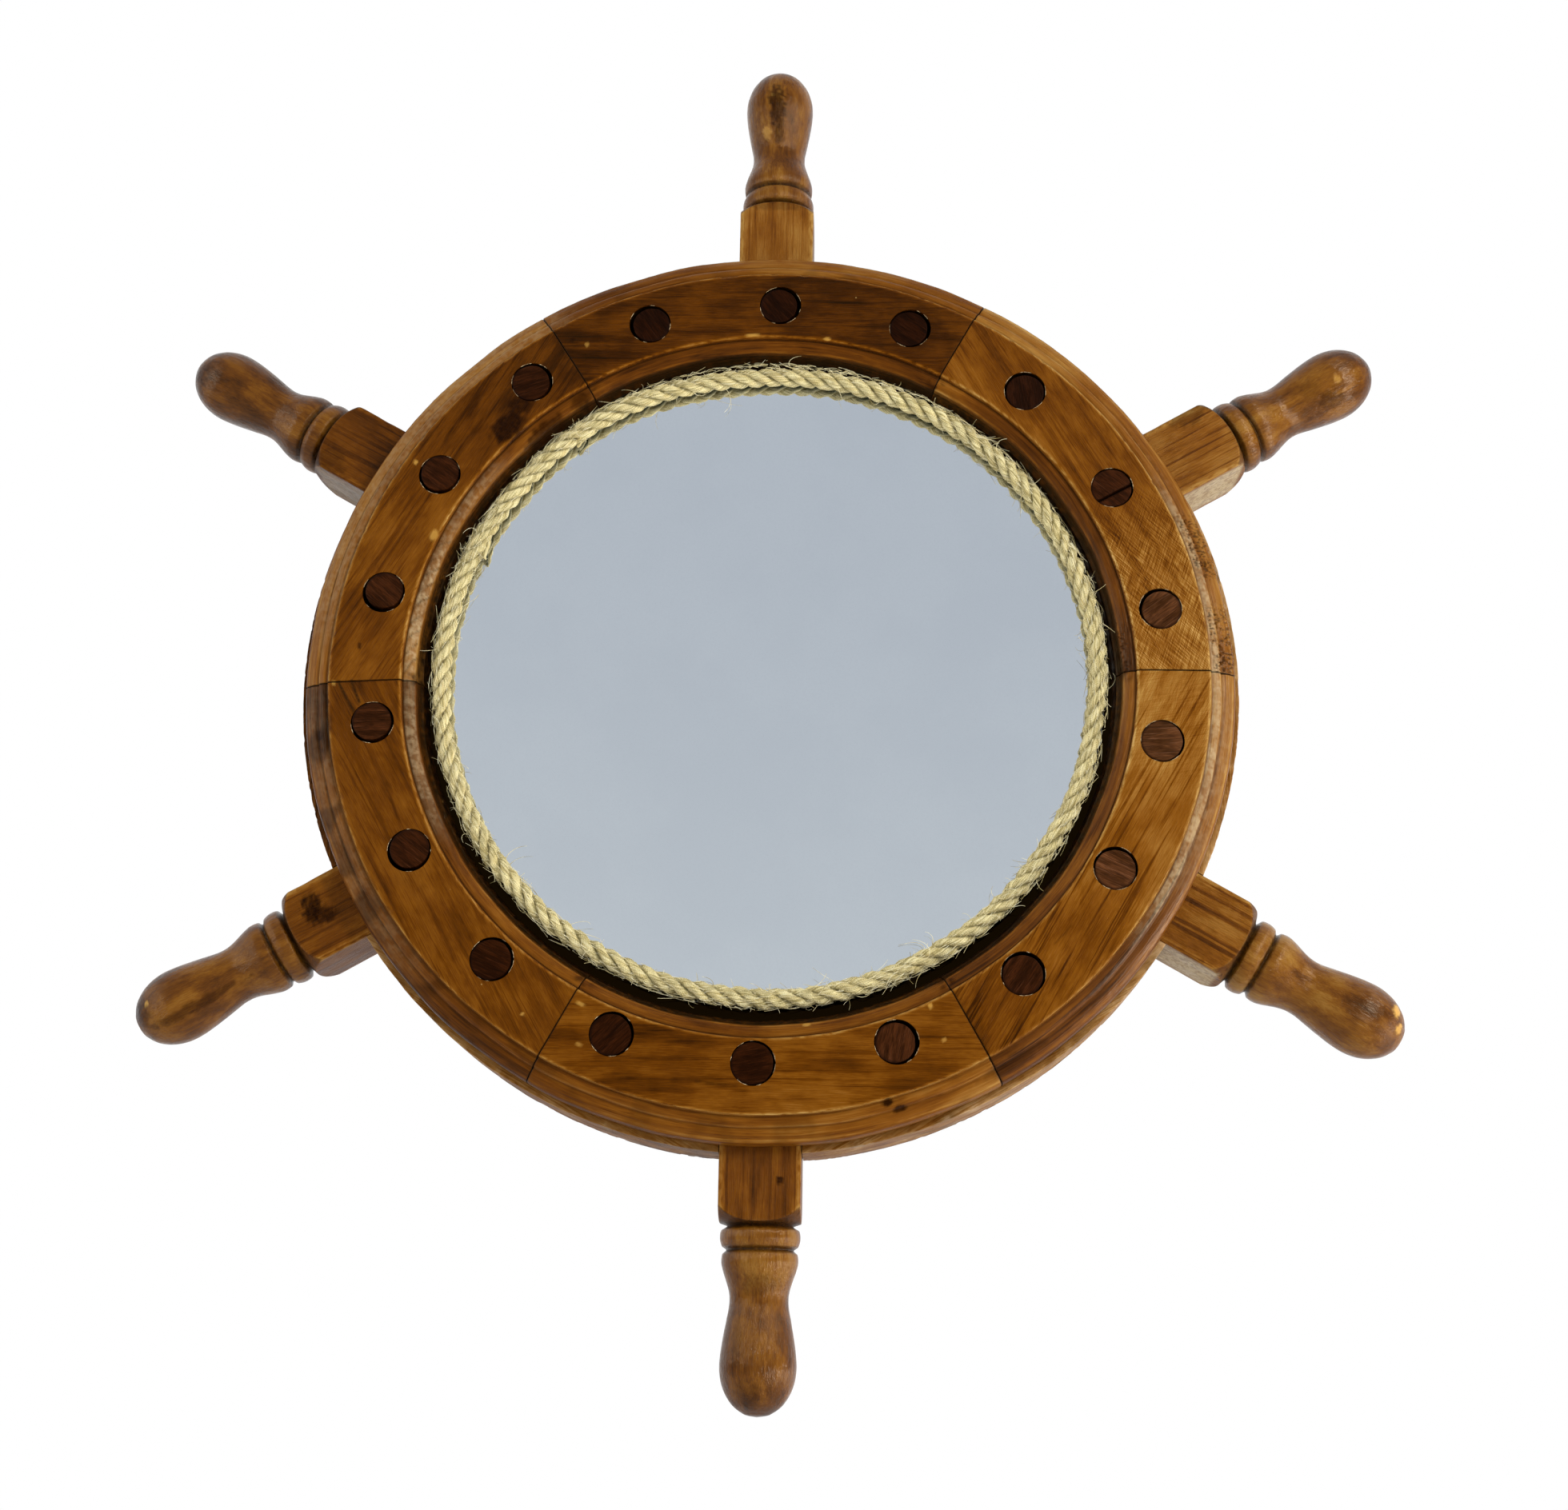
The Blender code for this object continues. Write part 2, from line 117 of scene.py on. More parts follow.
# The pegs in turn from the top: where the open side of the bore is (degrees clockwise of
# outward), how much smaller the peg is than the CAD's, and its tone
PEG_SEATS = (
    (80, 0.60, 0.45), (60, 0.40, 0.40), (-45, 0.45, 0.50), (0, 0.05, 0.95), (-130, 0.40, 2.5),
    (0, 0.05, 2.7), (-110, 0.30, 2.4), (-120, 0.45, 1.0), (-90, 0.55, 1.4), (-110, 0.10, 0.7),
    (-140, 0.25, 0.65),
    (-150, 0.30, 0.75), (-50, 0.50, 0.95), (-110, 0.50, 1.4), (-90, 0.65, 1.2), (-120, 0.50, 1.0),
    (110, 0.45, 0.85), (-40, 0.60, 0.42),
)

# Turned handles: (distance from the tip, radius), joined by a smooth curve
HANDLE_PROFILE = (
    (0.0, 0.0), (0.5, 3.6), (1.7, 6.4), (3.8, 9.4), (6.8, 11.9), (9.8, 13.6), (14.5, 15.1),
    (19.5, 15.6), (25.0, 15.2), (31.0, 14.3), (37.0, 13.2), (43.0, 12.1), (46.0, 12.0),
    (49.5, 12.5), (53.5, 13.8), (57.0, 15.0), (60.5, 15.7), (63.2, 15.4), (65.0, 14.6), (66.6, 15.6),
    (69.8, 16.4), (72.6, 16.0), (74.5, 14.7), (75.6, 16.5), (77.0, 19.0), (79.0, 21.3), (81.5, 23.1),
    (84.5, 24.6),
)
HANDLE_GROOVES = ((65.0, 1.3, 0.9), (74.5, 1.4, 1.2))     # distance, half width, depth
HANDLE_END = 74.5                   # distance from the tip where the square stock begins
EDGE_ROUND = 0.5
# Painted sheen on one side face of each spoke's square, its strength per spoke
SIDE_SHEEN = (0.0, 1.0, 1.0, 0.0, 0.0, -0.30)            # per spoke; the sign picks the side

# Rope: three strands laid right-handed, each of several yarns
ROPE_TURNS = 37
STRANDS = 3
STRAND_CIRCLE = 0.53                # of the rope's radius
STRAND_RADIUS = 0.50
STRAND_SIDES = 30
YARNS = 6
ROPE_CIRCLE = 141                   # mm, where lengths round the rope are measured
YARN_TWIST = 2.0                    # turns of the yarns, against the strands, in each turn
ROPE_SEAM_CLOCK = -67.0
ROPE_TAILS = ((ROPE_SEAM_CLOCK + 6.5, -7.0, 4.2, 0.52), (-34.0, -5.5, 3.2, 0.5))  # start, sweep, drop, size
HAIRS = 2600
# What the wood's material reads at each point; run is 1 where a cutter ran round the wheel
VALUES = ("tone", "edge", "groove", "stain", "bare", "pit", "gloss", "haze", "scratched", "run")


# ---------------- frame and mesh helpers

def mesh_points(mesh):
    """A mesh's vertices in wheel coordinates."""
    flat = np.empty(len(mesh.vertices) * 3, np.float32)
    mesh.vertices.foreach_get("co", flat)
    return (flat.reshape(-1, 3) - CENTRE) / MM


def node_points(name):
    return mesh_points(frame["nodes"][name].data)


def extent(name):
    """The lowest and the highest corner of a CAD node's box, in wheel coordinates."""
    points = node_points(name)
    return points.min(0), points.max(0)


def clock_vectors(clock):
    """Outward and clockwise directions at a clock angle in degrees."""
    angle = np.radians(clock)
    zero = np.zeros_like(angle)
    outward = np.stack([np.sin(angle), zero, np.cos(angle)], -1)
    onward = np.stack([np.cos(angle), zero, -np.sin(angle)], -1)
    return outward, onward


def polar_points(clock, radius, depth):
    outward, _ = clock_vectors(clock)
    points = outward * radius[..., None]
    points[..., 1] = depth
    return points


def rough(points, size, seed=0.0):
    """Smooth noise from -1 to 1 at each point, its features about size mm across."""
    scaled = points.reshape(-1, 3) / size + seed
    values = [noise.noise(Vector(p)) for p in scaled]
    return np.array(values).reshape(points.shape[:-1])


def step_up(value, low, high):
    """0 below low, 1 above high, and smooth between them."""
    t = np.clip((value - low) / (high - low), 0, 1)
    return t * t * (3 - 2 * t)


def round_angles(count):
    return np.linspace(0, 2 * math.pi, count, endpoint=False)


def turned_rings(profile, steps):
    """Angles, radii and depths of a turned solid, a row for each (radius, depth) of its profile."""
    angle = round_angles(steps)
    radius, depth = (np.array(v)[:, None] + 0 * angle for v in zip(*profile))
    return angle, radius, depth


def tube_faces(rings, around, loop=False):
    """Quads between rings of points, with a cap at each end unless the tube is a loop."""
    faces = []
    for i in range(rings if loop else rings - 1):
        here, following = i * around, (i + 1) % rings * around
        for j in range(around):
            k = (j + 1) % around
            faces.append((here + j, here + k, following + k, following + j))
    if not loop:
        faces.append(tuple(range(around))[::-1])
        faces.append(tuple((rings - 1) * around + j for j in range(around)))
    return faces


def grid(points, loop=False):
    """Points and faces of a tube, from an array of rings of points."""
    return points.reshape(-1, 3), tube_faces(*points.shape[:2], loop)


def tube_along(path, radii, around):
    """Points and faces of a round tube along a path of points in mm."""
    path = np.asarray(path, float)
    tangent = np.gradient(path, axis=0)
    tangent /= np.linalg.norm(tangent, axis=1)[:, None]
    helper = np.array([0.31, 0.84, 0.44])
    side = np.cross(tangent, helper)
    side /= np.linalg.norm(side, axis=1)[:, None]
    up = np.cross(tangent, side)
    angle = round_angles(around)
    ring = side[:, None] * np.cos(angle)[:, None] + up[:, None] * np.sin(angle)[:, None]
    return grid(path[:, None] + ring * np.asarray(radii)[:, None, None])


def joined(parts):
    """Points and faces of several (points, faces) parts together."""
    points, faces, shift = [], [], 0
    for part_points, part_faces in parts:
        points.append(part_points)
        faces += [tuple(i + shift for i in f) for f in part_faces]
        shift += len(part_points)
    return np.concatenate(points), faces


def raw_mesh(name, points, faces):
    """A mesh from points in wheel coordinates, its faces turned outward."""
    mesh = bpy.data.meshes.new(name)
    mesh.from_pydata((points * MM + CENTRE).tolist(), [], faces)
    bm = bmesh.new()
    bm.from_mesh(mesh)
    bmesh.ops.recalc_face_normals(bm, faces=bm.faces)
    bm.to_mesh(mesh)
    bm.free()
    return mesh


def link(obj):
    bpy.context.scene.collection.objects.link(obj)
    return obj


def carve(mesh, cutter):
    """The mesh with the cutter's solids taken out of it."""
    obj = link(bpy.data.objects.new("carving", mesh))
    tool = link(bpy.data.objects.new("cutter", cutter))
    modifier = obj.modifiers.new("carve", "BOOLEAN")
    modifier.operation = "DIFFERENCE"
    modifier.solver = "EXACT"
    modifier.object = tool
    graph = bpy.context.evaluated_depsgraph_get()
    carved = bpy.data.meshes.new_from_object(obj.evaluated_get(graph))
    for o in (obj, tool):
        bpy.data.objects.remove(o)
    return carved


def carried(old_points, values, new_points):
    """Values known at the old points, read at the new ones from the nearest old point."""
    tree = kdtree.KDTree(len(old_points))
    for i, p in enumerate(old_points):
        tree.insert(p, i)
    tree.balance()
    nearest = [tree.find(p)[1] for p in new_points]
    return values[nearest]


def set_attribute(mesh, name, values):
    attribute = mesh.attributes.new(name, "FLOAT_VECTOR", "POINT")
    attribute.data.foreach_set("vector", values.astype(np.float32).ravel())


def build_piece(name, mesh, materials, nodes=(), body="wheel"):
    """A visible piece that rides a body and stands in for some CAD nodes."""
    mesh.shade_smooth()
    mesh.set_sharp_from_angle(angle=SHARP)
    mesh.materials.clear()
    for material in materials:
        mesh.materials.append(material)
    obj = link(bpy.data.objects.new(name, mesh))
    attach(obj, body)
    if nodes:
        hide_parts(*nodes)
    return obj


def wooden_piece(name, rings, values, clock, looks, node, pegs):
    """A piece of wood, with what its material reads: grain coordinates in mm along, behind and across the
    grain, and the values as wear and shading (tone; edge, lightened for wear and as a painted highlight;
    groove, darkened as painted shade with some grime), marks (stains with some painted shade, bare wood,
    pits) and finish (gloss, painted sheen, scratches)."""
    points, faces = grid(rings)
    mesh = carve(raw_mesh(name, points, faces), bore_cutter(pegs))
    final = mesh_points(mesh)
    values = carried(points, values, final)
    # Painted shade: the walls of each peg's bore are darkened to near black.
    for peg in pegs:
        from_peg = np.hypot(final[:, 0] - peg.x, final[:, 2] - peg.z)
        inside = (final[:, 1] > 1.0) & (final[:, 1] < peg.end + 0.4)
        values[inside & (from_peg < peg.radius + BORE_PLAY + 0.05), 2] = 1.0
    outward, onward = clock_vectors(float(clock[0]))
    along, across = (onward, outward) if clock[1] == "chord" else (outward, onward)
    grain = np.stack([final @ along, final[:, 1], final @ across], -1)
    arc = ARC_RADIUS * np.arctan2(final @ onward, final @ outward)
    run = np.stack([0.6 * arc, 0.55 * final[:, 1], 0.55 * np.hypot(final[:, 0], final[:, 2])], -1)
    grain = np.where(values[:, 9:] > 0.5, run, grain)
    set_attribute(mesh, "grain", grain + GRAIN_SHIFT * (hash_number(name) + 1))
    set_attribute(mesh, "wear", values[:, :3])
    set_attribute(mesh, "marks", values[:, 3:6])
    set_attribute(mesh, "finish", values[:, 6:9])
    return build_piece(name, mesh, looks, [node])


def value_rows(**columns):
    """The values that wooden_piece() takes, a row for each point; a value not given is 0."""
    full = np.broadcast_arrays(*(columns.get(name, 0.0) for name in VALUES))
    return np.stack(full, -1).reshape(-1, len(VALUES))


def hash_number(name):
    """A small number that is always the same for a name."""
    return sum(ord(c) * (i + 1) for i, c in enumerate(name)) % 97


# ---------------- material helpers

class Graph:
    """A short way to write the nodes of a new material, or of the world. Sockets and plain values
    are both inputs."""

    def __init__(self, name, world=None):
        self.material = world or bpy.data.materials.new(name)
        self.material.use_nodes = True
        self.tree = self.material.node_tree
        self.shader = self.tree.nodes["Background" if world else "Principled BSDF"]

    @functools.cached_property
    def grain(self):
        return self.attribute("grain")

    def node(self, kind, **settings):
        made = self.tree.nodes.new("ShaderNode" + kind)
        for key, value in settings.items():
            setattr(made, key, value)
        return made

    def feed(self, socket, value):
        if isinstance(value, bpy.types.NodeSocket):
            self.tree.links.new(value, socket)
        else:
            socket.default_value = value

    def surface(self, **inputs):
        for key, value in inputs.items():
            self.feed(self.shader.inputs[key.replace("_", " ")], value)

    def attribute(self, name):
        return self.node("Attribute", attribute_name=name).outputs["Vector"]

    def split(self, vector):
        made = self.node("SeparateXYZ")
        self.feed(made.inputs[0], vector)
        return made.outputs

    def scaled(self, vector, scale):
        made = self.node("VectorMath", operation="MULTIPLY")
        self.feed(made.inputs[0], vector)
        made.inputs[1].default_value = scale
        return made.outputs[0]

    def noise(self, vector, detail=2.0, roughness=0.5, distortion=0.0):
        made = self.node("TexNoise")
        self.feed(made.inputs["Vector"], vector)
        made.inputs["Scale"].default_value = 1.0
        made.inputs["Detail"].default_value = detail
        made.inputs["Roughness"].default_value = roughness
        made.inputs["Distortion"].default_value = distortion
        return made.outputs["Fac"]

    def pattern(self, scale, *settings):
        """Noise along, behind and across the grain."""
        return self.noise(self.scaled(self.grain, scale), *settings)

    def cells(self, vector):
        """Distance to the nearest of scattered points, and a random value for each point."""
        made = self.node("TexVoronoi")
        self.feed(made.inputs["Vector"], vector)
        made.inputs["Scale"].default_value = 1.0
        return made.outputs["Distance"], self.split(made.outputs["Color"])[0]

    def ranged(self, value, low, high, to_low=0.0, to_high=1.0):
        made = self.node("MapRange", interpolation_type="SMOOTHSTEP")
        for key, v in (("Value", value), ("From Min", low), ("From Max", high),
                       ("To Min", to_low), ("To Max", to_high)):
            self.feed(made.inputs[key], v)
        return made.outputs["Result"]

    def math(self, operation, a, b):
        made = self.node("Math", operation=operation)
        self.feed(made.inputs[0], a)
        self.feed(made.inputs[1], b)
        return made.outputs[0]

    def times(self, a, b):
        return self.math("MULTIPLY", a, b)

    def total(self, *values):
        result = values[0]
        for value in values[1:]:
            result = self.math("ADD", result, value)
        return result

    def mix(self, factor, a, b, blend="MIX"):
        made = self.node("Mix", data_type="RGBA", blend_type=blend)
        self.feed(made.inputs[0], factor)
        self.feed(made.inputs[6], a if isinstance(a, bpy.types.NodeSocket) else (*a, 1.0))
        self.feed(made.inputs[7], b if isinstance(b, bpy.types.NodeSocket) else (*b, 1.0))
        return made.outputs[2]

    def tinted(self, colour, tint):
        return self.mix(1.0, colour, tint, "MULTIPLY")

    def ramp(self, value, stops):
        made = self.node("ValToRGB")
        elements = made.color_ramp.elements
        for element, (place, colour) in zip(elements, (stops[0], stops[-1])):
            element.position, element.color = place, (*colour, 1)
        for place, colour in stops[1:-1]:
            elements.new(place).color = (*colour, 1)
        self.feed(made.inputs[0], value)
        return made.outputs[0]

    def grey(self, value):
        made = self.node("CombineColor")
        for socket in made.inputs:
            self.feed(socket, value)
        return made.outputs[0]

    def bump(self, height, distance, strength=1.0):
        made = self.node("Bump")
        self.feed(made.inputs["Height"], height)
        made.inputs["Distance"].default_value = distance
        made.inputs["Strength"].default_value = strength
        return made.outputs["Normal"]


# Stained wood from its darkest to its palest
WOOD_RAMP = (
    (0.0, (0.010, 0.003, 0.0002)), (0.2, (0.040, 0.0100, 0.0004)), (0.4, (0.118, 0.033, 0.0013)),
    (0.55, (0.205, 0.068, 0.0045)), (0.7, (0.300, 0.130, 0.021)), (0.85, (0.43, 0.23, 0.055)),
    (1.0, (0.62, 0.38, 0.13)),
)
BARE_WOOD = (0.66, 0.36, 0.07)
# Near-black brown of painted shade, with some grime, for grooves, recesses and bores
SHADE_AND_GRIME = (0.010, 0.0040, 0.0008)
# Pale cream of the painted sheen, where light glances off the varnish
SHEEN_COLOUR = (0.56, 0.43, 0.24)
# Near black of smudges, and of painted shade on some handles
SMUDGE_AND_SHADE = (0.013, 0.0035, 0.0006)
PIT_SHADE = (0.028, 0.011, 0.003)
PALE_SPECK = (0.45, 0.28, 0.09)
SCRATCH_SLANTS = (-0.85, 0.30)      # radians
# Tints of the gloss where the varnish is thin, thick or smudged over
THIN_VARNISH = (0.20, 0.10, 0.02)
THICK_VARNISH = (0.62, 0.50, 0.36)
SMUDGED_VARNISH = (0.02, 0.008, 0.002)


def wood_material(name, figure=0.12, lines=0.14, fibres=0.10, mottle=0.06, relief=1.0, roughness=0.40,
                  tint=(1.0, 1.0, 1.0)):
    """Stained and varnished wood that reads from the mesh its grain, wear, marks and painted light and
    shade: highlights on edges, shade in grooves and sheen on the varnish.
    """
    g = Graph(name)
    tone, edge, groove = g.split(g.attribute("wear"))
    stain, bare, pit = g.split(g.attribute("marks"))
    gloss, haze, scratched = g.split(g.attribute("finish"))

    broad = g.pattern((0.012, 0.03, 0.03), 2.0)
    clouds = g.pattern((0.05, 0.10, 0.11), 3.0, 0.6)
    streaks = g.pattern((0.011, 0.12, 0.15), 3.0, 0.58, 0.5)
    growth = g.pattern((0.013, 0.50, 0.62), 2.0, 0.6, 0.3)
    fibre = g.pattern((0.11, 2.6, 2.8), 2.0, 0.65)
    pores = g.pattern((0.20, 4.0, 4.4), 1.0)
    rubbed = g.pattern((0.25, 0.6, 0.6), 2.0)
    patchiness = g.pattern((0.5, 0.5, 0.5), 3.0, 0.65)

    level = g.total(
        tone,
        g.ranged(streaks, 0.50, 0.66, figure * 0.15, -figure),
        g.ranged(growth, 0.54, 0.66, lines * 0.2, -lines),
        g.ranged(fibre, 0.30, 0.70, -fibres * 0.5, fibres * 0.5),
        g.ranged(clouds, 0.34, 0.66, -mottle, mottle),
        g.ranged(broad, 0.35, 0.65, -0.05, 0.05),
        g.ranged(pores, 0.62, 0.72, 0.0, -0.09),
    )
    for slant in SCRATCH_SLANTS:
        turned = g.node("VectorRotate", rotation_type="Y_AXIS")
        g.feed(turned.inputs["Vector"], g.grain)
        turned.inputs["Angle"].default_value = slant
        scratches = g.noise(g.scaled(turned.outputs[0], (0.07, 1.0, 2.6)), 2.0, 0.65)
        scratches = g.ranged(scratches, 0.32, 0.68, -0.15, 0.15)
        level = g.math("ADD", level, g.times(scratches, scratched))
    # Edges are lightened for wear and as a painted highlight along the arrises.
    worn = g.times(edge, g.ranged(rubbed, 0.28, 0.58, 0.25, 1.0))
    level = g.math("ADD", level, g.times(worn, 0.42))
    colour = g.ramp(level, WOOD_RAMP)
    colour = g.tinted(colour, tint)

    colour = g.mix(bare, colour, BARE_WOOD)
    # Painted shade with some grime: grooves, recesses and bores darken towards near black
    shade_and_grime = g.times(groove, g.ranged(patchiness, 0.25, 0.6, 0.65, 1.0))
    colour = g.mix(shade_and_grime, colour, SHADE_AND_GRIME)
    # Painted sheen: pale cream where light glances off the varnish
    sheen_mix = g.times(haze, g.ranged(patchiness, 0.35, 0.62, 0.45, 1.0))
    colour = g.mix(sheen_mix, colour, SHEEN_COLOUR)
    # Smudges, and painted shade on some handles, darken towards near black
    smudge_and_shade = g.times(stain, g.ranged(patchiness, 0.38, 0.62, 0.85, 1.0))
    colour = g.mix(smudge_and_shade, colour, SMUDGE_AND_SHADE)
    colour = g.mix(pit, colour, PIT_SHADE)
    distance, chance = g.cells(g.scaled(g.grain, (0.07, 0.07, 0.07)))
    speck = g.times(g.ranged(distance, 0.016, 0.030, 1.0, 0.0), g.ranged(chance, 0.5, 0.55))
    colour = g.mix(g.times(speck, 0.6), colour, PALE_SPECK)

    satin = g.pattern((0.05, 0.09, 0.09), 3.0)
    hollows = g.pattern((0.30, 0.5, 0.5), 2.0)
    height = g.total(*(g.times(part, share)
                       for part, share in ((growth, 0.7), (fibre, 0.8), (hollows, 0.8))))
    g.surface(
        Base_Color=colour,
        Roughness=g.math("SUBTRACT", g.ranged(satin, 0.3, 0.7, roughness - 0.06, roughness + 0.10),
                         g.times(gloss, 0.10)),
        Normal=g.bump(height, 0.00034 * relief, 0.9),
        Specular_Tint=g.mix(smudge_and_shade, g.mix(gloss, THIN_VARNISH, THICK_VARNISH), SMUDGED_VARNISH),
    )
    return g.material


def peg_material():
    """Dark end grain with painted shade round its rim; the marks are each peg's own tint."""
    g = Graph("dark_peg_wood")
    _, edge, groove = g.split(g.attribute("wear"))
    figure = g.pattern((0.06, 0.30, 0.34), 3.0, 0.6, 0.4)
    lines = g.pattern((0.05, 1.3, 1.4), 2.0, 0.6)
    fibre = g.pattern((0.30, 4.0, 4.0), 2.0)
    colour = g.mix(g.ranged(figure, 0.36, 0.62), (0.042, 0.0112, 0.0028), (0.017, 0.0043, 0.0008))
    colour = g.mix(g.ranged(lines, 0.55, 0.68, 0.0, 0.30), colour, (0.095, 0.032, 0.013))
    colour = g.mix(g.ranged(lines, 0.45, 0.32, 0.0, 0.40), colour, (0.011, 0.004, 0.002))
    colour = g.tinted(colour, g.grey(g.ranged(fibre, 0.3, 0.7, 0.65, 1.3)))
    colour = g.tinted(colour, g.attribute("marks"))
    # Painted shade: darker towards the rim of the peg's end
    colour = g.mix(g.times(edge, 0.6), colour, (0.008, 0.003, 0.002))
    colour = g.mix(groove, colour, (0.0012, 0.0005, 0.0002))
    height = g.math("ADD", lines, g.times(fibre, 0.6))
    g.surface(Base_Color=colour, Roughness=g.ranged(figure, 0.3, 0.7, 0.40, 0.55),
              Normal=g.bump(height, 0.00022), Specular_Tint=(0.12, 0.05, 0.02, 1.0), Specular_IOR_Level=0.3)
    return g.material


def glue_material():
    """Beads of hard glue, from honey to brown."""
    g = Graph("dried_glue")
    cloud = g.pattern((1.2, 1.2, 1.2), 2.0)
    colour = g.mix(g.ranged(cloud, 0.4, 0.6), (0.62, 0.46, 0.24), (0.20, 0.11, 0.04))
    g.surface(Base_Color=colour, Roughness=g.ranged(cloud, 0.3, 0.7, 0.4, 0.6),
              Normal=g.bump(cloud, 0.0001))
    return g.material


def rope_material(name, deep, pale):
    """Sisal: straw yarns with greenish shade between them, streaked along each fibre."""
    g = Graph(name)
    _, shade, groove = g.split(g.attribute("wear"))
    fibre = g.pattern((0.13, 2.4, 2.4), 3.0, 0.7, 0.3)
    clump = g.pattern((0.10, 1.0, 1.0), 2.0)
    broad = g.pattern((0.02, 0.2, 0.2), 2.0)
    colour = g.mix(g.ranged(clump, 0.35, 0.65), pale, (0.78, 0.64, 0.29))
    colour = g.mix(g.ranged(fibre, 0.47, 0.62, 0.0, 0.85), colour, (0.31, 0.24, 0.075))
    colour = g.mix(g.ranged(fibre, 0.44, 0.30, 0.0, 0.8), colour, (0.97, 0.90, 0.64))
    colour = g.mix(g.times(groove, 0.85), colour, deep)
    colour = g.mix(shade, colour, (0.045, 0.055, 0.028))
    colour = g.tinted(colour, g.grey(g.ranged(broad, 0.3, 0.7, 0.88, 1.10)))
    g.surface(Base_Color=colour, Roughness=g.ranged(fibre, 0.3, 0.7, 0.62, 0.85),
              Normal=g.bump(fibre, 0.0005), Specular_IOR_Level=0.2)
    return g.material


def mirror_material():
    """Silvered float glass with faint dust, and a ring of painted shade at its rim behind the rope."""
    g = Graph("silvered_glass")
    dust = g.pattern((0.02, 0.02, 0.02), 4.0, 0.6)
    fine = g.pattern((1.3, 1.3, 1.3), 2.0, 0.6)
    colour = g.mix(g.ranged(dust, 0.35, 0.7), (0.86, 0.885, 0.915), (0.83, 0.855, 0.89))
    colour = g.mix(g.ranged(fine, 0.35, 0.75, 0.0, 0.25), colour, (0.80, 0.82, 0.86))
    # Painted shade: the glass turns near black past 143 mm, in the gap under the rope
    rim = g.node("VectorMath", operation="LENGTH")
    g.feed(rim.inputs[0], g.scaled(g.grain, (1.0, 0.0, 1.0)))
    colour = g.mix(g.ranged(rim.outputs["Value"], 143.0, 144.2), colour, (0.010, 0.005, 0.001))
    g.surface(Base_Color=colour, Metallic=1.0, Roughness=g.ranged(dust, 0.3, 0.7, 0.020, 0.045))
    return g.material


def hardboard_material():
    """Brown pressed board with a felted face."""
    g = Graph("hardboard")
    felt = g.pattern((0.9, 0.9, 0.9), 5.0, 0.7)
    cloud = g.pattern((0.03, 0.03, 0.03), 3.0)
    weave = g.cells(g.scaled(g.grain, (0.7, 0.7, 0.7)))[0]
    colour = g.mix(g.ranged(felt, 0.35, 0.68), (0.27, 0.165, 0.085), (0.115, 0.062, 0.028))
    colour = g.tinted(colour, g.grey(g.ranged(cloud, 0.3, 0.7, 0.82, 1.15)))
    height = g.math("ADD", felt, g.times(weave, 0.5))
    g.surface(Base_Color=colour, Roughness=g.ranged(felt, 0.3, 0.7, 0.70, 0.88),
              Normal=g.bump(height, 0.0004))
    return g.material


def metal_material(name, bright, dull, roughness):
    """Brushed metal that has gone dull in patches."""
    g = Graph(name)
    brushed = g.pattern((0.25, 6.0, 6.0), 2.0)
    tarnish = g.pattern((0.22, 0.22, 0.22), 4.0, 0.65)
    colour = g.mix(g.ranged(tarnish, 0.42, 0.68), bright, dull)
    rough_value = g.math("ADD", g.ranged(brushed, 0.3, 0.7, roughness - 0.06, roughness + 0.06),
                         g.ranged(tarnish, 0.4, 0.7, 0.0, 0.14))
    g.surface(Base_Color=colour, Metallic=1.0, Roughness=rough_value, Normal=g.bump(brushed, 0.00004))
    return g.material


# ---------------- pegs and their bores

class Peg:
    """Where a CAD peg is: its axis, radius and length, in wheel coordinates."""

    def __init__(self, name):
        points = node_points(name)
        self.name = name
        self.x, self.z = (points[:, [0, 2]].min(0) + points[:, [0, 2]].max(0)) / 2
        self.radius = np.hypot(points[:, 0] - self.x, points[:, 2] - self.z).max()
        self.end = points[:, 1].max()
        self.clock = math.degrees(math.atan2(self.x, self.z)) % 360


def bore_cutter(pegs, steps=72):
    """Cutter for the bores of some pegs, a little wider than the pegs."""
    angle = round_angles(steps)
    bores = []
    for peg in pegs:
        radius = peg.radius + BORE_PLAY
        rings = [np.stack([peg.x + radius * np.cos(angle), np.full(steps, depth),
                           peg.z + radius * np.sin(angle)], -1)
                 for depth in (-3.0, 1.2, peg.end + 0.3)]
        bores.append(grid(np.array(rings)))
    return raw_mesh("bores", *joined(bores))


def near_clock(clock, middle, spread):
    """Whether a clock angle is less than spread degrees from the middle one."""
    return abs((clock - middle + 180) % 360 - 180) < spread


# ---------------- front ring

def outline_normals(outline):
    """Unit normals of a closed outline."""
    tangent = np.roll(outline, -1, 0) - np.roll(outline, 1, 0)
    normal = np.stack([tangent[:, 1], -tangent[:, 0]], -1)
    return normal / np.linalg.norm(normal, axis=1)[:, None]


def section_outline(section):
    """A closed outline in (radius, depth), with its outward normals."""
    outline = []
    for (r0, d0, _, _), (r1, d1, bulge, steps) in zip(section[-1:] + section[:-1], section):
        chord = math.hypot(r1 - r0, d1 - d0)
        for i in range(steps):
            t = i / steps
            swell = 4 * t * (1 - t) * bulge / chord
            outline.append((r0 + (r1 - r0) * t + (d1 - d0) * swell,
                            d0 + (d1 - d0) * t - (r1 - r0) * swell))
    outline = np.array(outline)
    return outline, outline_normals(outline)


def closeness(outline, spots, width):
    """1 on any of the (radius, depth) spots of a section, falling to 0 over a width in mm."""
    gaps = [np.hypot(outline[:, 0] - r, outline[:, 1] - d) for r, d in spots]
    return np.exp(-(np.min(gaps, axis=0) / width) ** 2)


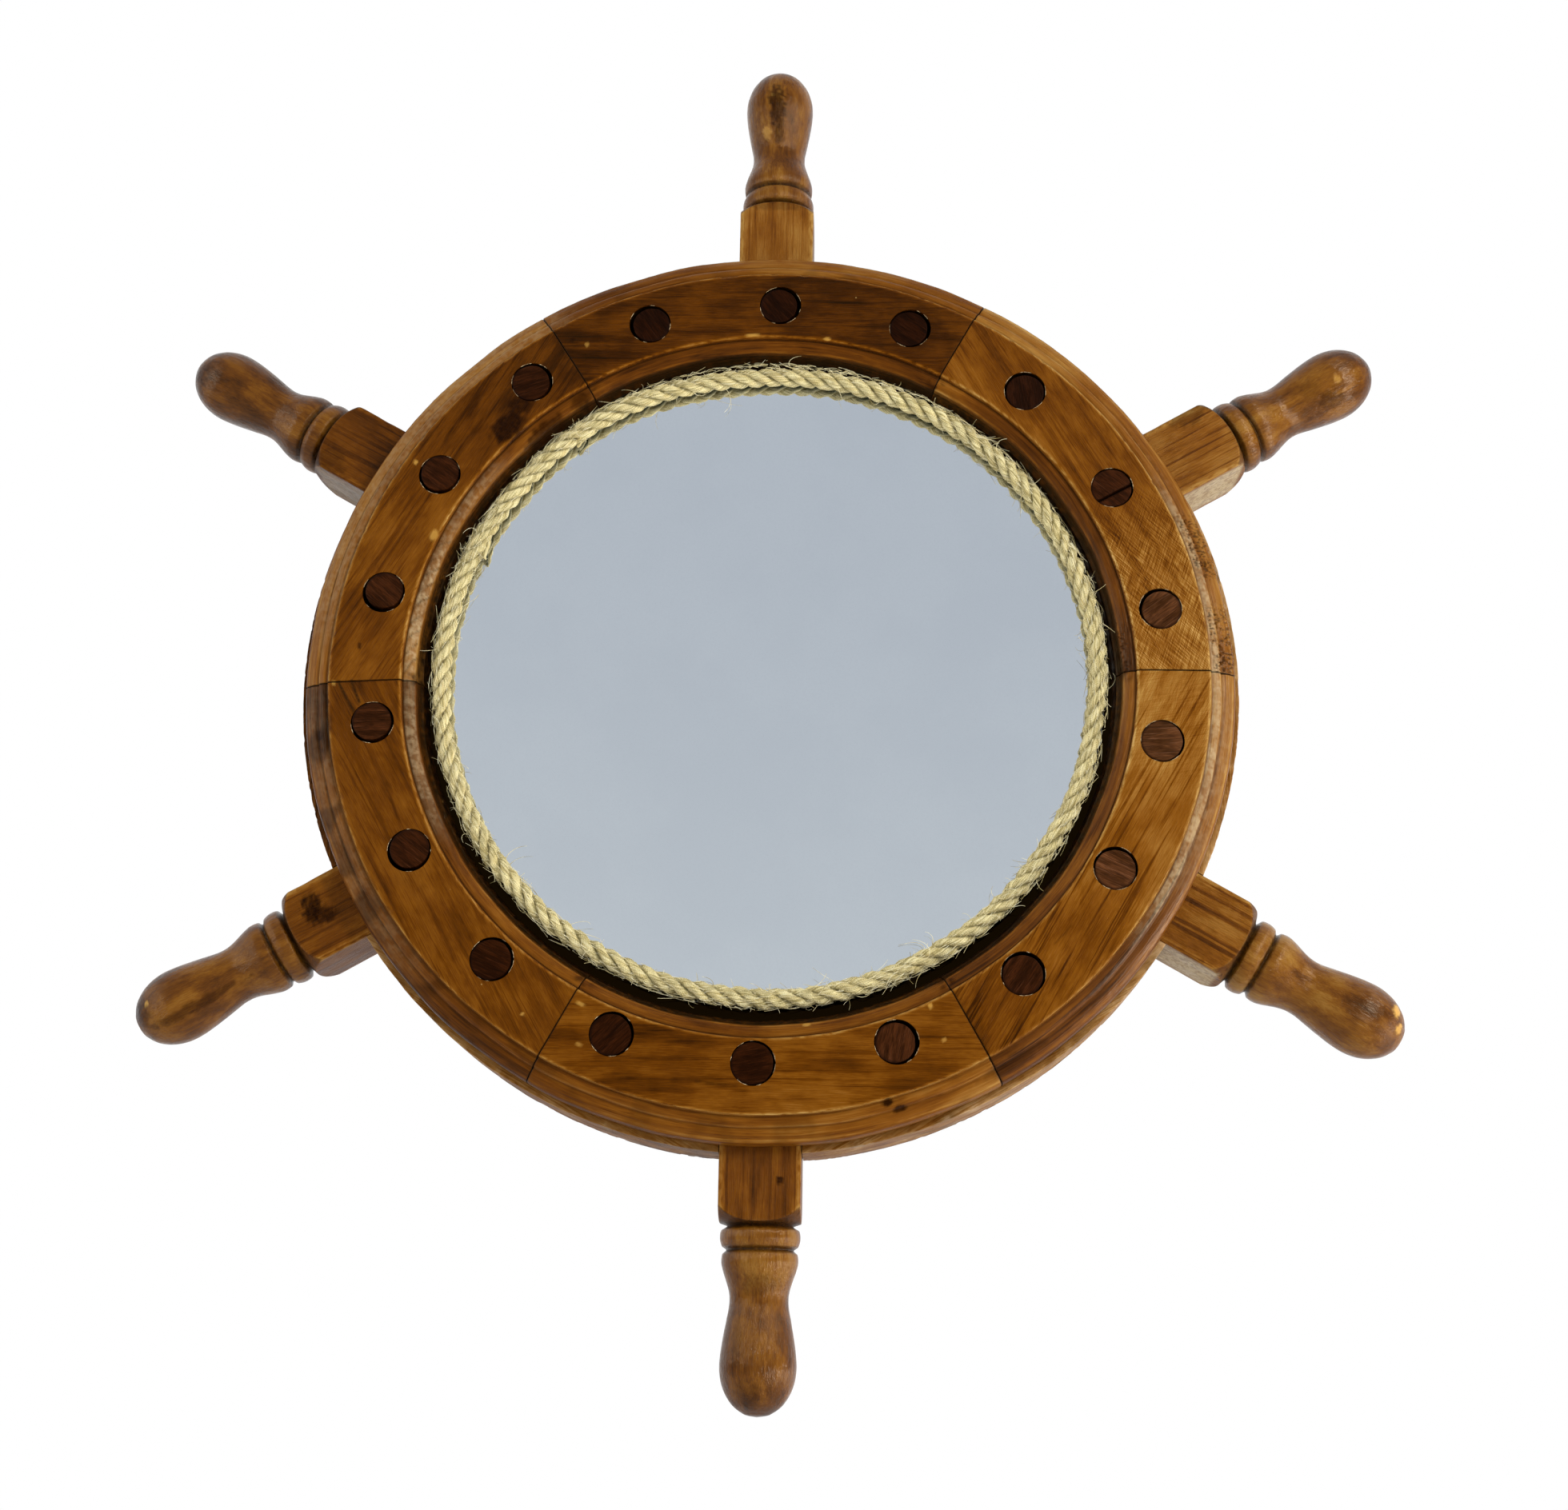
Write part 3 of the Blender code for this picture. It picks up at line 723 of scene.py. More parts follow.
def clock_extent(name, middle):
    """The first and the last clock angle of a CAD node that lies round a middle one."""
    points = node_points(name)
    clock = (np.degrees(np.arctan2(points[:, 0], points[:, 2])) - middle + 180) % 360 - 180
    return middle + clock.min(), middle + clock.max()


def felloe_clocks(start, end, step):
    """Clock angles of a felloe's rings of points, and how far each is drawn in at its ends."""
    count = int((end - start) / (step * DEGREES_PER_MM))
    ease = np.array([0.0, 0.15, 0.4]) * DEGREES_PER_MM
    clock = np.concatenate([start + ease, np.linspace(start, end, count)[1:-1], end - ease[::-1]])
    shrink = np.zeros(len(clock))
    shrink[[0, -1]], shrink[[1, -2]] = 0.22, 0.06
    return clock, shrink[:, None]


def moulded_part(outline):
    """1 on the ring's mouldings and 0 on its flat face."""
    return 1 - step_up(outline[:, 0], 154.5, 156.5) * step_up(-outline[:, 0], -188.0, -185.5)


def add_felloe(number, pegs, material):
    node = "front_felloe_%d" % number
    middle = (number - 1) * PITCH
    start, end = clock_extent(node, middle)
    outline, normal = section_outline(RING_SECTION)
    clock, shrink = felloe_clocks(start, end, FINE_STEP if number == TORN_FELLOE else FELLOE_STEP)
    clocks = np.repeat(clock[:, None], len(outline), 1)
    radius = np.repeat(outline[None, :, 0], len(clock), 0) - RING_DROP * np.cos(np.radians(clocks))
    depth = np.repeat(outline[None, :, 1], len(clock), 0)
    ideal = polar_points(clocks, radius, depth)
    torn = torn_grain(ideal, clocks, outline)
    marks = felloe_marks(clocks, radius, depth, ideal)
    values = felloe_values(number, clocks, outline, ideal, marks, torn)

    moulded = moulded_part(outline)
    wander = rough(ideal * [1, 0, 1], 24.0, 3.1) * 0.45
    uneven = rough(ideal, 2.6, 9.3) * 0.07
    chip = step_up(rough(ideal, 3.4, 21.7), 0.22, 0.6) * 0.55
    inward = shrink + chip * closeness(outline, ARRISES + RIM_ARRISES, 0.7) + torn * 0.8 - uneven * moulded
    radius = radius + wander * moulded - inward * normal[:, 0]
    depth = depth - inward * normal[:, 1]

    mine = [p for p in pegs if near_clock(p.clock, (start + end) / 2, (end - start) / 2)]
    wooden_piece("moulded_felloe_%d" % number, polar_points(clocks, radius, depth), values,
                 (middle, "chord"), [material], node, mine)


def felloe_values(number, clocks, outline, ideal, marks, torn):
    """What a felloe's material reads, as wooden_piece() takes it."""
    start, end = clocks[0, 0], clocks[-1, 0]
    moulded = moulded_part(outline)
    # Painted highlight and wear along the arrises
    edge = closeness(outline, ARRISES, 0.6) + 0.5 * closeness(outline, LESSER_ARRISES, 0.6)
    edge = edge * (0.8 + 0.3 * rough(ideal, 9.0, 5.0))

    joint = np.minimum(clocks - start, end - clocks) / DEGREES_PER_MM
    # Painted shade: the quirks, the cove wall and the deep back of the ring are darkened; the joints and
    # splits are dark in the wood itself.
    back = step_up(outline[:, 1], 5.5, 11.0) * step_up(-outline[:, 0], -190, -180)
    cove = step_up(-outline[:, 0], -150.6, -149.8)
    groove = 0.6 * closeness(outline, QUIRKS, 0.45) + 0.3 * closeness(outline, LESSER_QUIRKS, 0.45)
    groove = groove + back + 0.8 * (1 - step_up(joint, 0.05, 0.45)) + 0.6 * cove + marks["splits"]

    share = (clocks - start) / (end - start)
    face, outer, inner = (np.interp(share, (0, 0.5, 1), tones) for tones in FELLOE_TONES[number - 1])
    tone = face + moulded * (np.where(outline[:, 0] > 180, outer, inner) - face)

    filler = (1 - step_up(joint, 1.0, 7.0)) * step_up(-outline[:, 0], -155, -153)
    filler = filler * (outline[:, 1] < FRONT_DEPTH) * step_up(rough(ideal, 3.0, 2.2), -0.25, 0.3)
    stain = filler * 0.75 + marks["smudges"] + moulding_smudges(clocks, outline, ideal)

    sheen = 0.25 + 0.6 * np.exp(-(((clocks % 360) - 112) / 32) ** 2)
    gloss = moulded * (1 - 0.6 * back) * sheen
    scratched = (1 - moulded) * step_up(clocks, 58, 72) * (1 - step_up(clocks, 100, 112))
    scratched = scratched * (1 - 0.7 * step_up(clocks, 90, 91))
    return value_rows(
        tone=tone, edge=np.clip(edge, 0, 1), groove=np.clip(groove, 0, 1), stain=np.clip(stain, 0, 1),
        bare=marks["spots"], pit=0.85 * torn, gloss=gloss, haze=felloe_haze(clocks, outline, ideal),
        scratched=scratched, run=moulded,
    )


def torn_grain(points, clocks, outline):
    """Short radial pits where the cutter tore the mouldings beside the right-hand joint."""
    clock = clocks % 360
    stretch = step_up(clock, 67, 70) * (1 - step_up(clock, 76, 79)) + step_up(clock, 80, 83)
    stretch = stretch * (1 - step_up(clock, 90.2, 90.5))
    outer = step_up(outline[:, 0], 187.8, 188.8)
    inner = step_up(-outline[:, 0], -154.0, -152.5) * step_up(-outline[:, 1], -6.0, -4.0)
    where = stretch * (outer + 0.7 * inner * step_up(clock, 74, 84))
    radius, depth = (0.6 * v + 0 * clocks for v in outline.T)
    strokes = np.stack([np.radians(clocks) * 190, radius, depth], -1)
    return 0.9 * where * step_up(rough(strokes, 0.75, 31.0) + 0.3 * rough(points, 3.0, 12.0), -0.15, 0.6)


def felloe_marks(clocks, radius, depth, points):
    """Smudges and rubbed spots as (clock, radius, half length, half width, strength), and short
    splits by the left-hand joint, each between two (clock, radius) ends."""
    smudges = (
        (313.4, 159.5, 9.0, 5.5, 1.0), (317.0, 163.5, 6.0, 4.5, 0.95), (317.5, 148.5, 11.0, 2.6, 0.8),
        (325.5, 150.0, 5.0, 3.2, 0.7), (163.2, 194.5, 2.6, 1.5, 0.9), (164.4, 191.0, 2.4, 1.6, 0.9),
        (21.0, 168.0, 15.0, 11.0, 0.35), (262.5, 190.0, 12.0, 4.0, 0.5), (148.0, 195.0, 14.0, 3.0, 0.45),
        (208.0, 192.0, 12.0, 2.0, 0.3), (240.0, 173.0, 14.0, 5.0, 0.12), (186.0, 178.0, 9.0, 0.7, 0.5),
        (133.0, 168.0, 6.0, 0.6, 0.4), (272.5, 174.5, 1.6, 0.9, 0.8), (329.5, 176.0, 1.5, 1.0, 0.6),
    )
    spots = (
        (291.9, 156.8, 2.4, 1.6, 0.55), (300.8, 181.0, 1.1, 1.0, 0.6), (155.0, 174.8, 1.1, 0.8, 0.4),
        (154.7, 160.2, 1.0, 1.1, 0.6), (173.1, 153.5, 1.3, 0.8, 0.5), (206.8, 162.9, 1.7, 0.8, 0.5),
        (204.4, 177.7, 1.1, 0.8, 0.35), (212.9, 178.6, 0.8, 0.8, 0.6), (331.0, 170.7, 0.9, 0.9, 0.4),
        (8.8, 154.1, 1.5, 0.7, 0.6), (356.8, 154.3, 3.2, 0.7, 0.6), (267.2, 184.5, 0.9, 0.9, 0.5),
    )
    splits = (((267.3, 182.4), (264.5, 178.4)), ((264.5, 178.4), (262.9, 175.8)),
              ((267.3, 176.8), (264.2, 173.6)))
    ragged = 0.4 * rough(points, 3.0, 72.0)
    front = depth < FRONT_DEPTH

    def patches(marks):
        total = np.zeros_like(clocks)
        for clock, middle, along, across, strength in marks:
            turn = np.radians((clocks - clock + 180) % 360 - 180) * middle / along
            gap = np.hypot(turn, (radius - middle) / across)
            total = np.maximum(total, strength * front * step_up(1.3 - gap + ragged, 0.0, 0.6))
        return total

    cracked = np.zeros_like(clocks)
    for (clock, first), (last_clock, last) in splits:
        x, y = np.radians(clocks % 360 - clock) * first, radius - first
        dx, dy = math.radians(last_clock - clock) * first, last - first
        t = np.clip((x * dx + y * dy) / (dx * dx + dy * dy), 0, 1)
        gap = np.hypot(x - t * dx, y - t * dy)
        cracked = np.maximum(cracked, front * np.exp(-(gap / 0.7) ** 2))
    return {"smudges": patches(smudges), "spots": patches(spots), "splits": cracked}


def felloe_haze(clocks, outline, points):
    """Painted sheen and light on the mouldings: (first clock, last clock, inner radius, outer radius,
    strength).
    """
    bands = ((66, 124, 187.6, 191.3, 0.55), (92, 118, 191.3, 197.0, 0.15),
             (268, 292, 150.6, 155.0, 0.62), (244, 267, 150.6, 155.0, 0.36),
             (292, 306, 150.6, 155.0, 0.28), (228, 267, 187.6, 197.0, 0.10), (274, 330, 187.0, 197.0, 0.20))
    clock = clocks % 360
    total = 0 * clocks
    for first, last, inner, outer, strength in bands:
        along = step_up(clock, first - 6, first + 6) * (1 - step_up(clock, last - 6, last + 6))
        across = step_up(outline[:, 0], inner - 0.4, inner + 0.4)
        across = across * (1 - step_up(outline[:, 0], outer - 0.4, outer + 0.4))
        total = np.maximum(total, strength * along * across * (outline[:, 1] < FRONT_DEPTH))
    speckle = rough(points, 1.5, 33.0) + 0.7 * rough(points, 5.0, 34.0)
    return total * (0.30 + 0.70 * step_up(speckle, -0.5, 0.3))


def moulding_smudges(clocks, outline, points):
    """Dark smudges on the handled parts of the outer mouldings, and slanted strokes on an inner one."""
    clock = clocks % 360
    outer = step_up(outline[:, 0], 186.5, 189.0)
    handled = np.interp(clock, (0, 20, 30, 140, 150, 205, 225, 262, 268, 325, 335, 360),
                        (0.25, 0.3, 0.0, 0.0, 0.3, 0.2, 0.5, 0.6, 0.0, 0.0, 0.3, 0.25))
    turn = (clock + 0.5 * (outline[:, 0] - 150) + 0.5 * rough(points, 6.0, 81.0)) % 2.7 - 1.35
    inner = step_up(-outline[:, 0], -155.4, -155.0) * step_up(outline[:, 0], 149.5, 150.5)
    inner = inner * step_up(clock, 266, 270) * (1 - step_up(clock, 290, 300))
    strokes = 0.6 * inner * np.exp(-(turn / 0.26) ** 2) * step_up(rough(points, 2.0, 82.0), -0.5, 0.2)
    return outer * handled * step_up(rough(points, 11.0, 44.0), 0.05, 0.4) + strokes


# ---------------- spokes

def smooth_profile(points, at):
    """Monotone cubic curve through (distance, radius) points."""
    x, y = np.array(points).T
    slope = np.diff(y) / np.diff(x)
    tangent = np.concatenate([slope[:1], (slope[1:] + slope[:-1]) / 2, slope[-1:]])
    turning = np.concatenate([[False], slope[1:] * slope[:-1] <= 0, [False]])
    tangent[turning] = 0
    i = np.clip(np.searchsorted(x, at, side="right") - 1, 0, len(x) - 2)
    width = x[i + 1] - x[i]
    t = np.clip((at - x[i]) / width, 0, 1)
    h00, h10 = (1 + 2 * t) * (1 - t) ** 2, t * (1 - t) ** 2
    h01, h11 = t * t * (3 - 2 * t), t * t * (t - 1)
    return h00 * y[i] + h10 * width * tangent[i] + h01 * y[i + 1] + h11 * width * tangent[i + 1]


def soft_min(a, b, width):
    """The smaller of two values, rounded where they meet."""
    mix = np.clip(0.5 + 0.5 * (b - a) / width, 0, 1)
    return b * (1 - mix) + a * mix - width * mix * (1 - mix)


def handle_radius(distance):
    """Radius of the turned handle at a distance from its tip."""
    radius = smooth_profile(HANDLE_PROFILE, np.minimum(distance, HANDLE_PROFILE[-1][0]))
    radius = radius + np.maximum(distance - HANDLE_PROFILE[-1][0], 0)
    for middle, half, depth in HANDLE_GROOVES:
        radius = radius - depth * np.clip(1 - np.abs(distance - middle) / half, 0, 1) ** 0.8
    return radius


def spoke_stations(length):
    """Distances from the tip, closer together where the turning is finer."""
    pieces = (
        (0.03, 0.4, 4), (0.6, 2.0, 6), (2.4, 12.0, 18), (12.8, 63.0, 64), (63.3, 86.0, 86),
        (86.8, 110.0, 28), (112.0, length, 18),
    )
    return np.concatenate([np.linspace(*p) for p in pieces])


def add_spoke(number, pegs, looks, tones, half, middle_depth):
    node = "spoke_%d" % number
    middle = (number - 1) * PITCH
    outward, onward = clock_vectors(float(middle))
    reach = node_points(node) @ outward
    tip, length = reach.max(), reach.max() - reach.min()

    distance = spoke_stations(length)
    across = np.linspace(-1, 1, 29)[:-1]
    across = 0.45 * across + 0.55 * np.sin(across * math.pi / 2)
    angle = np.concatenate([np.arctan(across) + k * math.pi / 2 for k in range(4)])
    s, a = np.meshgrid(distance, angle, indexing="ij")
    seat = np.stack([s, 20 * np.cos(a), 20 * np.sin(a)], -1) + 100 * number
    worn = 0.30 + 0.55 * step_up(rough(seat, 9.0), 0.0, 0.5)
    flats = [half / np.maximum(np.abs(side), 1e-6) for side in (np.cos(a), np.sin(a))]
    square = soft_min(*flats, EDGE_ROUND + 2.0 * worn)
    turned = handle_radius(s) * (1 + 0.008 * rough(seat, 22.0, 6.0))
    radius = soft_min(turned, square, 0.30)
    radius = radius + 0.05 * rough(seat, 3.0, 8.0) * step_up(-s, -80, -60)

    points = (tip - s)[..., None] * outward + (radius * np.sin(a))[..., None] * onward
    points[..., 1] = middle_depth - radius * np.cos(a)
    values = spoke_values(number, s, a, seat, tones, radius / half, turned - square)

    mine = [p for p in pegs if near_clock(p.clock, middle, 5)]
    spoke = wooden_piece("turned_spoke_%d" % number, points, values, (middle, "length"), looks,
                         node, mine)
    centres = np.empty(len(spoke.data.polygons) * 3, np.float32)
    spoke.data.polygons.foreach_get("center", centres)
    from_tip = tip - (centres.reshape(-1, 3) - CENTRE) / MM @ outward
    spoke.data.polygons.foreach_set("material_index", (from_tip > HANDLE_END).astype(np.int32))


def spoke_values(number, s, a, seat, tones, girth, proud):
    """What a spoke's material reads, as wooden_piece() takes it, from its girth in units of the
    square's half width and how far the turning stands proud of the square."""
    # Painted highlight and wear along the square's corners and its shoulder
    corner = step_up(girth, 1.28, 1.38)
    shoulder = np.exp(-(proud / 0.5) ** 2) * (s > HANDLE_END + 0.5)
    edge = np.clip(0.55 * corner + 0.25 * shoulder, 0, 1)
    # Painted shade in the turned grooves and on the shoulder cone
    grooves = [np.exp(-((s - middle) / (0.9 * half)) ** 2) for middle, half, _ in HANDLE_GROOVES]
    cone = step_up(s, HANDLE_END, 76.0) * step_up(-proud, -0.3, 0.3) * 0.45
    groove = np.clip(np.max(grooves, axis=0) * 0.9 + cone, 0, 1)
    stain, bare = spoke_marks(number, s, a, seat)
    # Painted sheen on one side face of the square
    side = math.copysign(1, SIDE_SHEEN[number - 1])
    haze = abs(SIDE_SHEEN[number - 1]) * step_up(side * np.sin(a), 0.72, 0.80) * step_up(s, 77.5, 80.0)
    turned_part = step_up(-s, -77.0, -HANDLE_END)
    tone = tones[0] + (tones[1] - tones[0]) * step_up(s, 74.0, 78.0)
    tone = tone + 0.06 * step_up(s, 44, 58) * turned_part
    gloss = 0.2 + 0.75 * turned_part
    return value_rows(tone=tone, edge=edge, groove=groove, stain=stain, bare=bare, gloss=gloss, haze=haze)


def spoke_marks(number, s, a, seat):
    """Dark patches and chipped varnish: (spoke, distance, angle, size along, size round, strength). The
    dark patches are smudges, except those marked as painted shade or a painted dark reflection.
    """
    stains = (
        (5, 88.0, 0.25, 5.0, 0.34, 1.0), (5, 91.5, 0.02, 4.5, 0.28, 0.9), (5, 4.0, 0.5, 5.0, 0.9, 0.55),
        (1, 24.0, -0.06, 10.0, 0.26, 0.85), (1, 36.0, 0.02, 8.0, 0.18, 0.65),
        # Painted shade: the patches at 51.0 and 29.0 on the bottom handle
        (4, 92.0, -0.45, 1.6, 0.06, 1.0), (4, 51.0, -0.05, 4.0, 0.6, 0.35), (4, 29.0, 0.6, 9.0, 0.2, 0.3),
        # Painted shade: the patch at 7.0 on the bottom handle and the one on spoke 2's handle; painted dark
        # reflection: the long band down spoke 5's handle
        (4, 7.0, 0.3, 6.0, 0.5, 0.35), (5, 24.0, -0.50, 24.0, 0.16, 0.5), (2, 28.0, 0.65, 6.0, 0.3, 0.5),
        (6, 5.0, -0.6, 7.0, 1.0, 0.4), (2, 34.0, 0.1, 5.0, 0.4, 0.25), (1, 78.0, 0.1, 2.2, 0.9, 0.35),
        (2, 88.0, -0.75, 9.0, 0.22, 0.45), (6, 84.0, -0.6, 7.0, 0.3, 0.4),
    )
    chips = (
        (3, 8.0, -0.75, 2.3, 0.24, 1.0), (3, 4.2, -0.2, 1.3, 0.26, 0.8), (1, 36.5, -0.42, 3.6, 0.14, 0.4),
        (1, 19.0, -0.2, 0.8, 0.06, 0.6), (5, 9.0, 0.3, 1.0, 0.10, 0.9), (2, 21.0, 0.2, 1.5, 0.10, 0.4),
    )

    def patches(marks):
        total = np.zeros_like(s)
        ragged = 0.55 * rough(seat, 2.4, 50.0) + 0.25 * rough(seat, 0.9, 51.0)
        for spoke, distance, angle, along, around, strength in marks:
            if spoke == number:
                turn = (a - angle + math.pi) % (2 * math.pi) - math.pi
                gap = np.hypot((s - distance) / along, turn / around)
                total = np.maximum(total, strength * step_up(1.25 - gap + ragged, 0.0, 0.55))
        return total

    return patches(stains), patches(chips)


# ---------------- core blocks

def add_block(number, pegs, material, tones, half_slot):
    node = "core_block_%d" % number
    middle = (number - 0.5) * PITCH
    own = node_points(node)
    front, back = own[:, 1].min(), own[:, 1].max()
    radii = np.hypot(own[:, 0], own[:, 2])
    inner, outer = radii.min(), radii.max()

    section = (
        (inner, back, 0.0, 12), (inner, front, 0.0, 10), (outer - 0.3, front, 0.0, 14),
        (outer, front + 0.4, 0.05, 3), (outer, back - 1.2, 0.0, 26), (outer - 0.8, back, 0.2, 5),
    )
    outline, normal = section_outline(section)
    share = np.linspace(0, 1, 150)
    clip = np.degrees(np.arcsin(half_slot / outline[:, 0]))
    clocks = (number - 1) * PITCH + clip + share[:, None] * (PITCH - 2 * clip)
    radius = np.repeat(outline[None, :, 0], len(share), 0)
    radius = radius - RING_DROP * np.cos(np.radians(clocks)) * step_up(radius, 160, 190)
    depth = np.repeat(outline[None, :, 1], len(share), 0)
    ideal = polar_points(clocks, radius, depth)

    rim = step_up(outline[:, 0], outer - 1.5, outer - 0.5)
    sawn = rough(ideal * [1, 0.25, 1], 1.6, 4.0) * 0.10 + rough(ideal, 12.0, 7.0) * 0.25
    broken = step_up(rough(ideal, 2.2, 15.0) + 0.5 * rough(ideal, 7.0, 16.0), 0.05, 0.5)
    back_edge = closeness(outline, ((outer, back), (outer - 0.8, back)), 2.2)
    front_edge = closeness(outline, ((outer, front),), 0.8)
    inward = rim * sawn * 0.6 + broken * (0.95 * back_edge + 0.35 * front_edge)
    radius = radius - inward * normal[:, 0] - 0.3 * rim
    depth = np.minimum(depth - inward * normal[:, 1], back)

    # Lightened along the front arris as wear and painted highlight, and in streaks on the rim
    edge = 0.5 * closeness(outline, ((outer, front + 0.4),), 0.7)
    split = step_up(rough(ideal * [1, 0.35, 1], 6.0, 60.0), 0.30, 0.42) * rim * 0.35
    # Painted shade: darker along the broken back edge, on the faces inside the rim and in the strip under
    # the felloe's rounding
    groove = np.clip(0.9 * broken * back_edge + 0.25 * (1 - rim) + 0.5 * back_edge, 0, 1)
    under = closeness(outline, ((outer - 1.6, front),), 1.6)
    groove = np.clip(groove + 0.25 * under, 0, 1)
    tone = tones[0] + (tones[1] - tones[0]) * share[:, None]
    stain = 0.45 * step_up(rough(ideal, 14.0, 70.0), 0.1, 0.5) * rim
    values = value_rows(tone=tone, edge=np.clip(edge + split, 0, 1), groove=groove, stain=stain)

    mine = [p for p in pegs if near_clock(p.clock, middle, PITCH / 2 - 5)]
    wooden_piece("core_segment_%d" % number, polar_points(clocks, radius, depth), values,
                 (middle, "chord"), [material], node, mine)


# ---------------- pegs

def glue_arcs(peg, dice):
    """Broken bead of squeezed-out glue round a peg."""
    parts = []
    at = dice.uniform(0, 360)
    end = at + 330
    while at < end:
        sweep = dice.uniform(8, 38)
        angle = np.radians(np.linspace(at, at + sweep, max(4, int(sweep / 4))))
        gap = peg.radius + BORE_PLAY - 0.12 + 0.05 * np.array([dice.uniform(-1, 1) for _ in angle])
        path = np.stack([peg.x + gap * np.cos(angle), np.full(len(angle), 0.03),
                         peg.z + gap * np.sin(angle)], -1)
        radii = np.array([dice.uniform(0.05, 0.14) for _ in angle])
        radii[[0, -1]] = 0.03
        parts.append(tube_along(path, radii, 6))
        at += sweep + dice.uniform(10, 85)
    return joined(parts)


def add_peg(peg, materials, cracked):
    dice = random.Random(hash_number(peg.name) + SEED)
    turn = dice.uniform(0, 2 * math.pi)
    open_side, slack, tone = PEG_SEATS[int(peg.clock / 20)]
    away = math.radians(peg.clock + open_side)
    shift = -0.8 * (slack + BORE_PLAY) * np.array([math.sin(away), math.cos(away)])
    tilt = np.array([dice.uniform(-0.018, 0.018), dice.uniform(-0.018, 0.018)])
    sink = dice.uniform(-0.12, 0.30)
    size = peg.radius - slack
    rings = [(size * t, 0.0) for t in np.linspace(0.01, 0.94, 36 if cracked else 12)]
    rings += [(size - 0.28, 0.02), (size - 0.1, 0.1), (size, 0.3), (size, 8.0), (size, 20.0),
              (size, peg.end - 0.5), (size - 0.5, peg.end)]
    angle, radius, depth = turned_rings(rings, PEG_SIDES)
    facet = 1 + 0.010 * np.cos(angle * 7 + turn) * np.cos(angle * 3)
    x, z = radius * np.cos(angle) * facet, radius * np.sin(angle) * facet
    front = depth < 1.0
    flat = np.stack([x, depth, z], -1)
    height = depth + front * (sink + tilt[0] * x + tilt[1] * z + 0.10 * rough(flat + 50 * peg.clock, 4.0))
    groove = 0 * x
    if cracked:
        crack = np.exp(-((z * math.cos(0.50) - x * math.sin(0.50) + 2.6) / 0.62) ** 2)
        height = height + front * 1.6 * crack
        groove = front * crack
    body = grid(np.stack([x + peg.x + shift[0], height, z + peg.z + shift[1]], -1))
    glue = glue_arcs(peg, dice)
    mesh = raw_mesh(peg.name, *joined([body, glue]))
    final = mesh_points(mesh)
    spin = dice.uniform(0, math.pi)
    local = final - [peg.x, 0, peg.z]
    along = local[:, 0] * math.cos(spin) + local[:, 2] * math.sin(spin)
    across = local[:, 2] * math.cos(spin) - local[:, 0] * math.sin(spin)
    set_attribute(mesh, "grain", np.stack([along, local[:, 1] * 0.4, across], -1) + 60 * peg.clock)
    wear = np.zeros((len(final), 3))
    # Painted shade round the rim of the peg's end
    wear[:, 1] = step_up(np.hypot(local[:, 0], local[:, 2]), size - 0.6, size - 0.1)
    wear[:groove.size, 2] = groove.ravel()
    set_attribute(mesh, "wear", wear)
    tint = tone * np.array([1.0, 1.0 + 0.22 * (tone - 1), 1.0 + 0.5 * (tone - 1)])
    set_attribute(mesh, "marks", np.tile(tint, (len(final), 1)))
    built = build_piece("dark_" + peg.name, mesh, materials, [peg.name])
    indices = [0] * len(body[1]) + [1] * len(glue[1])
    built.data.polygons.foreach_set("material_index", indices)


# ---------------- rope

def strand_mesh(clock, radius, depth, thick, phase, seam_free):
    """One strand of a rope that follows a path given by clock angle, radius and depth."""
    lay = 2 * math.pi * ROPE_TURNS / 360 * (clock - clock[0])
    phi = lay + phase + 0.22 * rough(polar_points(clock, radius, depth), 9.0, 21.0 + phase)
    outward = clock_vectors(clock)[0]
    core = polar_points(clock, radius, depth)
    arm = np.cos(phi)[:, None] * outward + np.sin(phi)[:, None] * FORWARD
    side = -np.sin(phi)[:, None] * outward + np.cos(phi)[:, None] * FORWARD
    loose = 1 + 0.10 * rough(core, 6.0, 3.0 + phase)
    spine = core + arm * (STRAND_CIRCLE * thick * loose)[:, None]
    angle = round_angles(STRAND_SIDES)
    twist = YARN_TWIST * lay[:, None] + phase * 3
    lobes = 0.16 * np.abs(np.cos((angle + twist) * YARNS / 2)) ** 0.7
    width = STRAND_RADIUS * thick[:, None] * (0.92 + lobes)
    ring = (arm[:, None] * np.cos(angle)[:, None] + side[:, None] * np.sin(angle)[:, None])
    points = spine[:, None] + ring * width[..., None]
    arc = np.radians(clock)[:, None] * ROPE_CIRCLE + 0 * angle
    grain = np.stack([arc, width * np.cos(angle + twist), width * np.sin(angle + twist)], -1) + 90 * phase
    tufts = 0.34 * rough(grain * [0.22, 1.0, 1.0], 0.75, 5.0) + 0.42 * rough(points, 2.1, 15.0)
    points = points + ring * tufts[..., None]
    # Painted shade: the valleys between yarns and the hidden back of each strand are darkened, and so is
    # the side towards the mirror.
    valley = 1 - np.abs(np.cos((angle + twist) * YARNS / 2))
    hidden = step_up(np.abs((angle + math.pi) % (2 * math.pi) - math.pi), 1.2, 2.1)
    groove = np.clip(0.35 * valley ** 3 + 0.62 * hidden, 0, 1)
    shade = step_up(points[..., 1] - depth[:, None], 0.3 * thick[:, None], 1.0 * thick[:, None])
    wear = np.stack([0 * groove, shade, groove], -1).reshape(-1, 3)
    return *grid(points, seam_free), grain.reshape(-1, 3), wear


def rope_mesh(name, strands):
    mesh = raw_mesh(name, *joined([strand[:2] for strand in strands]))
    set_attribute(mesh, "grain", np.concatenate([strand[2] for strand in strands]))
    set_attribute(mesh, "wear", np.concatenate([strand[3] for strand in strands]))
    return mesh


